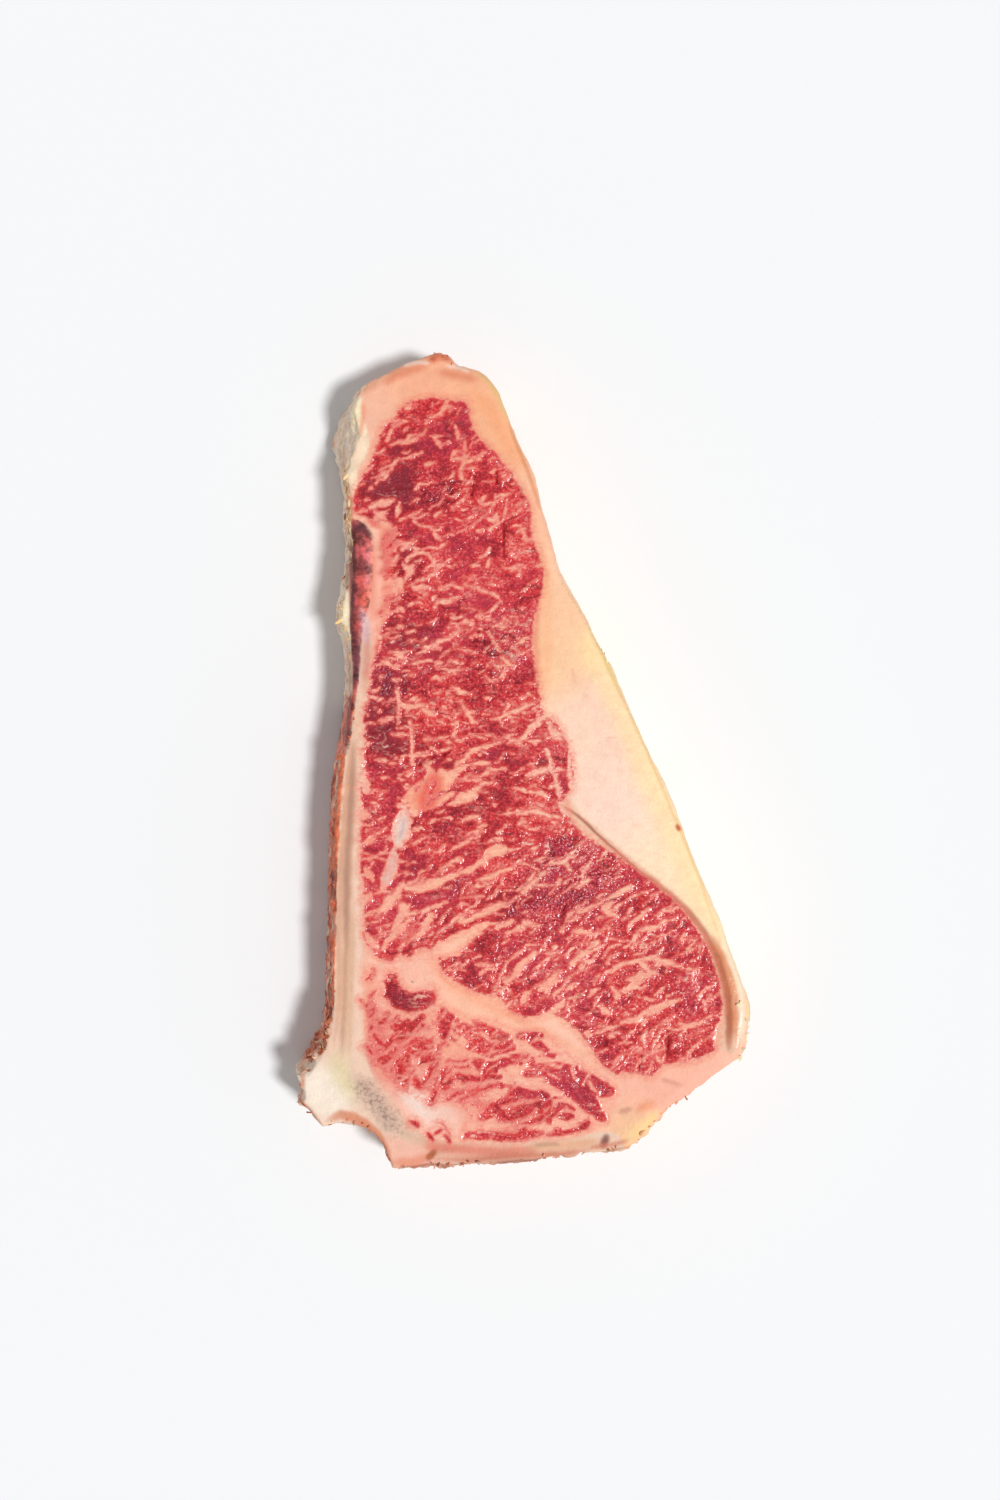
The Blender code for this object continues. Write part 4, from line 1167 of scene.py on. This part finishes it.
class Nodes:
    """Short calls that add shader nodes and link them."""

    def __init__(self, material):
        self.tree = material.node_tree

    def add(self, kind, **settings):
        node = self.tree.nodes.new("ShaderNode" + kind)
        for key, value in settings.items():
            setattr(node, key, value)
        return node

    def feed(self, socket, value):
        """Links a socket to another, or sets it to a number, a vector or a colour."""
        if isinstance(value, bpy.types.NodeSocket):
            self.tree.links.new(value, socket)
        elif isinstance(value, (int, float)):
            socket.default_value = value
        else:
            socket.default_value = (*value, 1.0) if len(socket.default_value) == 4 else value

    def math(self, operation, *values):
        node = self.add("Math", operation=operation)
        for socket, value in zip(node.inputs, values):
            self.feed(socket, value)
        return node.outputs[0]

    def feed_all(self, node, values):
        for name, value in values.items():
            self.feed(node.inputs[name], value)

    def ease(self, value, low, high, least=0.0, most=1.0):
        """Goes smoothly from least to most while the value goes from low to high."""
        node = self.add("MapRange", interpolation_type="SMOOTHSTEP")
        self.feed_all(
            node, {"Value": value, "From Min": low, "From Max": high, "To Min": least, "To Max": most})
        return node.outputs["Result"]

    def mix(self, share, first, second):
        """Mixes two colours."""
        node = self.add("Mix", data_type="RGBA", clamp_factor=True)
        self.feed_all(node, {0: share, 6: first, 7: second})
        return node.outputs[2]

    def blend(self, share, first, second):
        """Mixes two numbers."""
        node = self.add("Mix", data_type="FLOAT", clamp_factor=True)
        self.feed_all(node, {0: share, 2: first, 3: second})
        return node.outputs[0]

    def turned(self, vector, angle, scale):
        """The place turned by an angle in degrees and then stretched."""
        node = self.add("Mapping", vector_type="POINT")
        self.feed(node.inputs["Vector"], vector)
        node.inputs["Rotation"].default_value = (0, 0, math.radians(angle))
        node.inputs["Scale"].default_value = scale
        return node.outputs["Vector"]

    def noise(self, vector, scale, detail=2.0, roughness=0.5):
        node = self.add("TexNoise")
        self.feed_all(node, {"Vector": vector, "Scale": scale, "Detail": detail, "Roughness": roughness})
        return node.outputs["Fac"]

    def veins(self, vector, scale):
        """Thin winding lines: 1 on a line, and less the farther from it."""
        away = self.math("ABSOLUTE", self.math("SUBTRACT", self.noise(vector, scale, 2, 0.5), 0.5))
        return self.math("SUBTRACT", 1.0, self.math("MULTIPLY", away, 3.0))

    def cells(self, vector, scale):
        """Small rounded cells: 1 in their middles and 0 where they meet."""
        node = self.add("TexVoronoi")
        self.feed_all(node, {"Vector": vector, "Scale": scale})
        return self.ease(node.outputs["Distance"], 0.1, 0.75, 1.0, 0.0)

    def bent(self, vector, scale, reach):
        """The place moved about a little by soft noise, so that what reads it winds."""
        node = self.add("TexNoise")
        self.feed_all(node, {"Vector": vector, "Scale": scale, "Detail": 2})
        centred = self.add("VectorMath", operation="SUBTRACT")
        self.feed_all(centred, {0: node.outputs["Color"], 1: (0.5, 0.5, 0.5)})
        moved = self.add("VectorMath", operation="MULTIPLY_ADD")
        self.feed_all(moved, {0: centred.outputs[0], 1: (reach, reach, reach), 2: vector})
        return moved.outputs[0]

    def product(self, first, second):
        return self.math("MULTIPLY", first, second)

    def sum(self, *terms):
        """Adds terms: each a value, its weight and the level taken off the value first."""
        total = None
        for value, weight, *level in terms:
            offset = -weight * level[0] if level else 0.0
            term = self.math("MULTIPLY_ADD", value, weight, offset)
            total = term if total is None else self.math("ADD", total, term)
        return total

    def scaled(self, shade, factor):
        node = self.add("VectorMath", operation="SCALE")
        self.feed_all(node, {0: shade, "Scale": factor})
        return node.outputs[0]

    def attribute(self, name):
        return self.add("Attribute", attribute_name=name, attribute_type="GEOMETRY")


# Waves in a metre of each pattern in the meat, and the slants in degrees of its flat and steep fibres, its
# creases and the web in its fat.
WAVES = {
    "bends": 330, "streaks": 210, "steep streaks": 190, "veins": 120, "fine": 560, "grain": 820, "cells": 900,
    "patches": 80, "cool": 30, "creases": 62, "breaks": 70, "mottle": 240, "web": 190, "specks": 560,
    "ripples": 940,
}
FLAT_SLANT, STEEP_SLANT, CREASE_SLANT, WEB_SLANT = 14, 46, -62, 30


class Meat(Nodes):
    """The shader nodes of one kind of meat: the fields of its mesh, and the patterns in its tissues."""

    def __init__(self, material):
        super().__init__(material)
        self.plain = self.add("TexCoord").outputs["Object"]
        self.lean = self.attribute("lean").outputs["Fac"]
        self.crack_shade_and_specks = self.attribute("crack_shade_and_specks").outputs["Fac"]
        self.tint = self.attribute("tint").outputs["Color"]
        split = self.add("SeparateXYZ")
        self.feed(split.inputs[0], self.attribute("look").outputs["Vector"])
        self.tone, self.slant, self.wet = split.outputs
        self.lay_patterns()

    def lay_patterns(self):
        """Lays the patterns along the flat and the steep fibres: the look field says which of them holds."""
        plain, slant = self.plain, self.slant
        place = self.place = self.bent(plain, WAVES["bends"], 0.0022)
        flat = self.turned(place, FLAT_SLANT, (1, 1.9, 1.5))
        steep = self.turned(place, STEEP_SLANT, (1, 2.6, 1.8))
        self.streaks = self.blend(
            slant, self.noise(flat, WAVES["streaks"], 3, 0.6),
            self.noise(steep, WAVES["steep streaks"], 3, 0.6))
        self.veins_along = self.blend(
            slant, self.veins(flat, WAVES["veins"]), self.veins(steep, WAVES["veins"]))
        self.fine = self.blend(
            slant, self.noise(flat, WAVES["fine"], 3, 0.6), self.noise(steep, WAVES["fine"], 3, 0.6))
        self.grain = self.noise(plain, WAVES["grain"], 2.5, 0.6)
        self.bundles = self.cells(self.bent(plain, WAVES["cells"], 0.0014), WAVES["cells"])
        self.patches = self.noise(place, WAVES["patches"], 4, 0.62)
        self.cool = self.noise(plain, WAVES["cool"], 3)
        # Creases: lines that dip in the bump and are darkened in the colour as painted shade.
        creases = self.veins(self.turned(place, CREASE_SLANT, (1, 1.8, 1.0)), WAVES["creases"])
        self.crease = self.product(
            self.ease(creases, 0.90, 0.985), self.ease(self.noise(plain, WAVES["breaks"]), 0.46, 0.6))
        swing = self.product(
            self.sum((self.streaks, 1.0, 0.5), (self.fine, 0.5, 0.5)), self.ease(slant, 1.1, 1.9, 8.0, 3.5))
        self.depth = self.sum((self.lean, 1.0), (swing, 1.0))

    def lean_colour(self, colours):
        """Red fibres from dark to pink, purple and fresh stretches and the finest marbling, with a painted
        lilac sheen on the wet stretches and painted shade in the creases and cracks.
        """
        # Partly the lean's own random tone, partly painted light and shade: the grain, fine streaks and small
        # cells that rise in the bump make the colour lighter there, and darker where they dip between the
        # granules.
        shade = self.sum(
            (self.patches, 2.0, 0.5), (self.streaks, 0.9, 0.5), (self.grain, 1.5, 0.5), (self.fine, 1.2, 0.5),
            (self.bundles, 0.45, 0.5), (self.tone, 0.42))
        body = self.mix(self.ease(shade, -0.68, 0.0), colours.lean_dark, colours.lean_mid)
        body = self.mix(self.ease(shade, -0.22, 0.30), body, colours.lean_bright)
        body = self.mix(self.ease(self.cool, 0.42, 0.66, 0.0, 0.45), body, colours.lean_cool)
        body = self.mix(self.ease(self.tone, -0.25, -1.0, 0.0, 0.6), body, colours.lean_deep)
        body = self.mix(self.ease(self.tone, 0.7, 1.5, 0.0, 0.75), body, colours.lean_fresh)
        body = self.mix(self.ease(shade, 0.15, 0.6, 0.0, 0.85), body, colours.lean_pink)
        vein = self.product(self.ease(self.veins_along, 0.86, 0.97), self.ease(self.patches, 0.42, 0.6))
        body = self.mix(self.product(vein, 0.2), body, colours.marbling)
        fleck = self.product(
            self.ease(self.streaks, 0.58, 0.70), self.ease(self.patches, 0.40, 0.62, 0.2, 0.75))
        body = self.mix(fleck, body, colours.marbling)
        # Painted sheen: a lilac reflection painted on the middles of the small cells where the lean is wet.
        painted_sheen = self.product(self.ease(self.bundles, 0.35, 0.95), self.ease(self.wet, 0.1, 0.9, 0.08, 0.5))
        body = self.mix(self.product(painted_sheen, self.ease(self.grain, 0.35, 0.6, 0.3, 1.0)), body, colours.painted_sheen)
        # Painted shade in the creases.
        body = self.mix(self.product(self.crease, 0.8), body, colours.lean_dark)
        # Painted shade in the cracks.
        return self.mix(self.product(self.crack_shade_and_specks, 0.85), body, colours.lean_dark)

    def pale_colour(self, colours, mottled):
        """The painted tint of fat, bone and skin, mottled, stained near the lean, webbed and specked."""
        mottle = self.noise(self.place, WAVES["mottle"], 4, 0.65)
        fat = self.scaled(self.tint, self.ease(mottle, 0.3, 0.7, 1 - mottled, 1 + 0.7 * mottled))
        stain = self.product(
            self.ease(self.depth, -9.0, -0.5, 0.0, 0.42), self.ease(self.fine, 0.3, 0.62, 0.45, 1.25))
        fat = self.mix(stain, fat, colours.stain)
        web = self.veins(self.turned(self.place, WEB_SLANT, (1, 1.5, 1)), WAVES["web"])
        web = self.product(self.ease(web, 0.80, 0.96), self.ease(self.depth, -7.5, -1.5, 0.0, 0.38))
        fat = self.mix(web, fat, colours.lean_pink)
        specks = self.ease(self.noise(self.plain, WAVES["specks"], 3, 0.7), 0.42, 0.68)
        return self.mix(self.product(self.product(specks, self.crack_shade_and_specks), 0.6), fat, colours.speck)

    def colour(self, colours, mottled):
        """Lean in the middle, a fresh and then a pink rim, and outside it the paler tissues."""
        body, fat = self.lean_colour(colours), self.pale_colour(colours, mottled)
        surface = self.mix(self.ease(self.depth, 4.5, 1.0, 0.0, 0.5), body, colours.lean_fresh)
        surface = self.mix(self.ease(self.depth, 2.2, 0.2, 0.0, 0.85), surface, colours.lean_pink)
        return self.mix(self.ease(self.depth, 0.9, -1.2), surface, fat)

    def wetness(self):
        """Roughness, the normal of the body, and the normal of the wet coat over it."""
        mask = self.ease(self.depth, -0.8, 0.8)
        rough = self.blend(mask, 0.62, self.ease(self.wet, 0.0, 1.0, 0.60, 0.46))
        rough = self.sum((rough, 1.0), (self.grain, 0.3, 0.5))
        swell = self.sum(
            (self.grain, 1.3, 0.5), (self.bundles, 0.5, 0.5), (self.fine, 0.9, 0.5), (self.streaks, 0.8, 0.5),
            (self.crease, -0.6))
        swell = self.product(swell, self.blend(mask, 0.28, self.ease(self.wet, 0.0, 1.0, 0.8, 1.6)))
        ripple = self.product(
            self.noise(self.place, WAVES["ripples"], 1.0),
            self.blend(mask, 0.5, self.ease(self.wet, 0.0, 1.0, 1.1, 2.3)))
        return rough, self.bump(swell, 1.0, 0.0004), self.bump(ripple, 0.8, 0.0002)

    def bump(self, height, strength, distance):
        node = self.add("Bump")
        self.feed_all(node, {"Strength": strength, "Distance": distance, "Height": height})
        return node.outputs["Normal"]


def meat_material(name, colours, coat, mottled=0.05, glow=0.08):
    """Moist meat: lean with marbling, and the painted colour of fat, bone and skin where there is no lean."""
    material = bpy.data.materials.new(name)
    material.use_nodes = True
    meat = Meat(material)
    shader = material.node_tree.nodes["Principled BSDF"]
    meat.feed(shader.inputs["Base Color"], meat.colour(colours, mottled))
    for socket, value in zip(("Roughness", "Normal", "Coat Normal"), meat.wetness()):
        meat.feed(shader.inputs[socket], value)
    shader.inputs["Specular IOR Level"].default_value = 0.25
    shader.inputs["Subsurface Weight"].default_value = glow
    shader.inputs["Subsurface Radius"].default_value = (1.0, 0.35, 0.25)
    shader.inputs["Subsurface Scale"].default_value = 0.0018
    shader.inputs["Coat Weight"].default_value = coat
    shader.inputs["Coat Roughness"].default_value = 0.16
    return material


# ---------------------------------------------------------------- operators


class SkinOperator:
    """Shared by the operators: the sizes and colours of the scene."""

    bl_options = {"REGISTER", "UNDO"}

    def settings(self):
        scene = bpy.context.scene
        return scene.steak_sizes, scene.steak_colours

    def finish(self, nodes, slot, material):
        for node in nodes:
            piece = bpy.data.objects.get("raw_" + node)
            if piece is None:
                raise RuntimeError(f"the skin has no piece for {node}: run the skin operator first")
            piece.data.materials.clear()
            piece.data.materials.append(material)
            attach(piece, "root")
            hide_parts(node)


class STEAK_OT_skin(SkinOperator, bpy.types.Operator):
    """Draws one fine skin over the solids, marks and raises it, and cuts it into their pieces"""

    bl_idname = "steak.skin"
    bl_label = "Skin over the solids"

    def execute(self, context):
        sizes, colours = self.settings()
        skin = make_skin(sizes.mesh_step)
        paint_skin(skin, sizes, colours)
        cut_skin(skin)
        return {"FINISHED"}


class STEAK_OT_lean(SkinOperator, bpy.types.Operator):
    """Finishes the muscles: dark red lean with marbling, moist and glistening, with a painted sheen and shade
    """

    bl_idname = "steak.lean"
    bl_label = "Lean muscles"

    def execute(self, context):
        self.finish(KINDS["lean"], "lean", meat_material("lean meat", self.settings()[1], 0.5))
        return {"FINISHED"}


class STEAK_OT_fat(SkinOperator, bpy.types.Operator):
    """Finishes the fat: smooth, from pink to cream and yellow"""

    bl_idname = "steak.fat"
    bl_label = "Fat"

    def execute(self, context):
        self.finish(KINDS["fat"], "fat", meat_material("fat", self.settings()[1], 0.12))
        return {"FINISHED"}


class STEAK_OT_bone(SkinOperator, bpy.types.Operator):
    """Finishes the sawn bone with its marrow line and speckled corner"""

    bl_idname = "steak.bone"
    bl_label = "Bone"

    def execute(self, context):
        self.finish(KINDS["bone"], "bone", meat_material("bone", self.settings()[1], 0.05))
        return {"FINISHED"}


class STEAK_OT_skins(SkinOperator, bpy.types.Operator):
    """Finishes the cream skin flap and the torn rim below it"""

    bl_idname = "steak.skins"
    bl_label = "Skin flap and torn rim"

    def execute(self, context):
        self.finish(KINDS["skin"], "skin", meat_material("skin", self.settings()[1], 0.05, 0.12, 0.3))
        return {"FINISHED"}


class STEAK_OT_membrane(SkinOperator, bpy.types.Operator):
    """Finishes the dark dried strip above the bone"""

    bl_idname = "steak.membrane"
    bl_label = "Dried membrane"

    def execute(self, context):
        self.finish(KINDS["membrane"], "membrane", meat_material("membrane", self.settings()[1], 0.2, 0.75))
        return {"FINISHED"}


class STEAK_OT_scraps(SkinOperator, bpy.types.Operator):
    """Finishes the rough scraps of meat on the outside of the bone"""

    bl_idname = "steak.scraps"
    bl_label = "Scraps on the bone"

    def execute(self, context):
        self.finish(KINDS["scraps"], "dried_meat", meat_material("scraps", self.settings()[1], 0.05, 0.35))
        return {"FINISHED"}


class STEAK_OT_sinew(SkinOperator, bpy.types.Operator):
    """Finishes the sinew band between the loin and its fat"""

    bl_idname = "steak.sinew"
    bl_label = "Sinew band"

    def execute(self, context):
        self.finish(KINDS["sinew"], "sinew", meat_material("sinew", self.settings()[1], 0.12))
        return {"FINISHED"}


class STEAK_OT_shreds(SkinOperator, bpy.types.Operator):
    """Grows the torn shreds of meat and skin along the edges"""

    bl_idname = "steak.shreds"
    bl_label = "Torn shreds"

    def execute(self, context):
        sizes, colours = self.settings()
        kinds = ("meat_shreds", MEAT_SHREDS, "dried_meat"), ("skin_shreds", SKIN_SHREDS, "skin")
        for name, runs, slot in kinds:
            shreds = grow_shreds(name, runs, sizes.seed)
            shreds.data.materials.append(meat_material(name, colours, 0.05, 0.2))
            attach(shreds, "root")
        return {"FINISHED"}


FLOOR_SIZE = 3.0
FLOOR_DROP = 0.0002  # keeps the floor just under the steak
FLOOR_COLOUR = (0.88, 0.895, 0.905, 1)
SKY_COLOUR = (0.985, 0.99, 1.0, 1)
LAMP_COLOUR = (1.0, 0.995, 0.99)
LAMP_FROM = Vector((0.38, -0.18, 0.91))
LAMP_SPREAD = math.radians(9)


def lay_floor():
    bm = bmesh.new()
    bmesh.ops.create_grid(bm, x_segments=1, y_segments=1, size=FLOOR_SIZE)
    bmesh.ops.translate(bm, verts=bm.verts[:], vec=(0, 0, -FLOOR_DROP))
    floor = new_object("floor", bm)
    material = bpy.data.materials.new("pale floor")
    material.use_nodes = True
    shader = material.node_tree.nodes["Principled BSDF"]
    shader.inputs["Base Color"].default_value = FLOOR_COLOUR
    shader.inputs["Roughness"].default_value = 0.8
    floor.data.materials.append(material)


def set_daylight(scene):
    world = bpy.data.worlds.new("soft daylight")
    world.use_nodes = True
    background = world.node_tree.nodes["Background"]
    background.inputs["Color"].default_value = SKY_COLOUR
    background.inputs["Strength"].default_value = 0.38
    scene.world = world
    light = bpy.data.lights.new("lamp", "SUN")
    light.energy = 2.35
    light.angle = LAMP_SPREAD
    light.color = LAMP_COLOUR
    lamp = bpy.data.objects.new("lamp", light)
    lamp.rotation_euler = LAMP_FROM.to_track_quat("Z", "Y").to_euler()
    scene.collection.objects.link(lamp)


def hang_camera(scene):
    camera = bpy.data.objects.new("camera", bpy.data.cameras.new("camera"))
    camera.data.sensor_fit = "VERTICAL"
    camera.data.sensor_height = FILM_HEIGHT
    camera.data.lens = LENS
    camera.data.clip_start = 0.01
    camera.location = EYE
    scene.collection.objects.link(camera)
    scene.camera = camera


class STEAK_OT_stage(bpy.types.Operator):
    """Lays the pale floor and sets the soft light and the camera"""

    bl_idname = "steak.stage"
    bl_label = "Floor, light and camera"

    def execute(self, context):
        context.scene.view_settings.view_transform = "Standard"
        lay_floor()
        set_daylight(context.scene)
        hang_camera(context.scene)
        return {"FINISHED"}


class STEAK_PT_panel(bpy.types.Panel):
    """Lists the sizes, the colours and the steps"""

    bl_label = "Raw steak"
    bl_space_type = "VIEW_3D"
    bl_region_type = "UI"
    bl_category = "Steak"

    def draw(self, context):
        for group in (context.scene.steak_sizes, context.scene.steak_colours):
            for name in group.__annotations__:
                self.layout.prop(group, name)
        for operator in STEPS:
            self.layout.operator(operator.bl_idname)


STEPS = (
    STEAK_OT_skin, STEAK_OT_lean, STEAK_OT_fat, STEAK_OT_bone, STEAK_OT_skins, STEAK_OT_membrane,
    STEAK_OT_scraps, STEAK_OT_sinew, STEAK_OT_shreds, STEAK_OT_stage)
CLASSES = (SteakSizes, SteakColours, *STEPS, STEAK_PT_panel)


def register():
    for item in CLASSES:
        bpy.utils.register_class(item)
    bpy.types.Scene.steak_sizes = PointerProperty(type=SteakSizes)
    bpy.types.Scene.steak_colours = PointerProperty(type=SteakColours)


def unregister():
    del bpy.types.Scene.steak_sizes
    del bpy.types.Scene.steak_colours
    for item in reversed(CLASSES):
        bpy.utils.unregister_class(item)


def main():
    register()
    for operator in STEPS:
        group, name = operator.bl_idname.split(".")
        getattr(getattr(bpy.ops, group), name)()


if __name__ == "__main__":
    main()
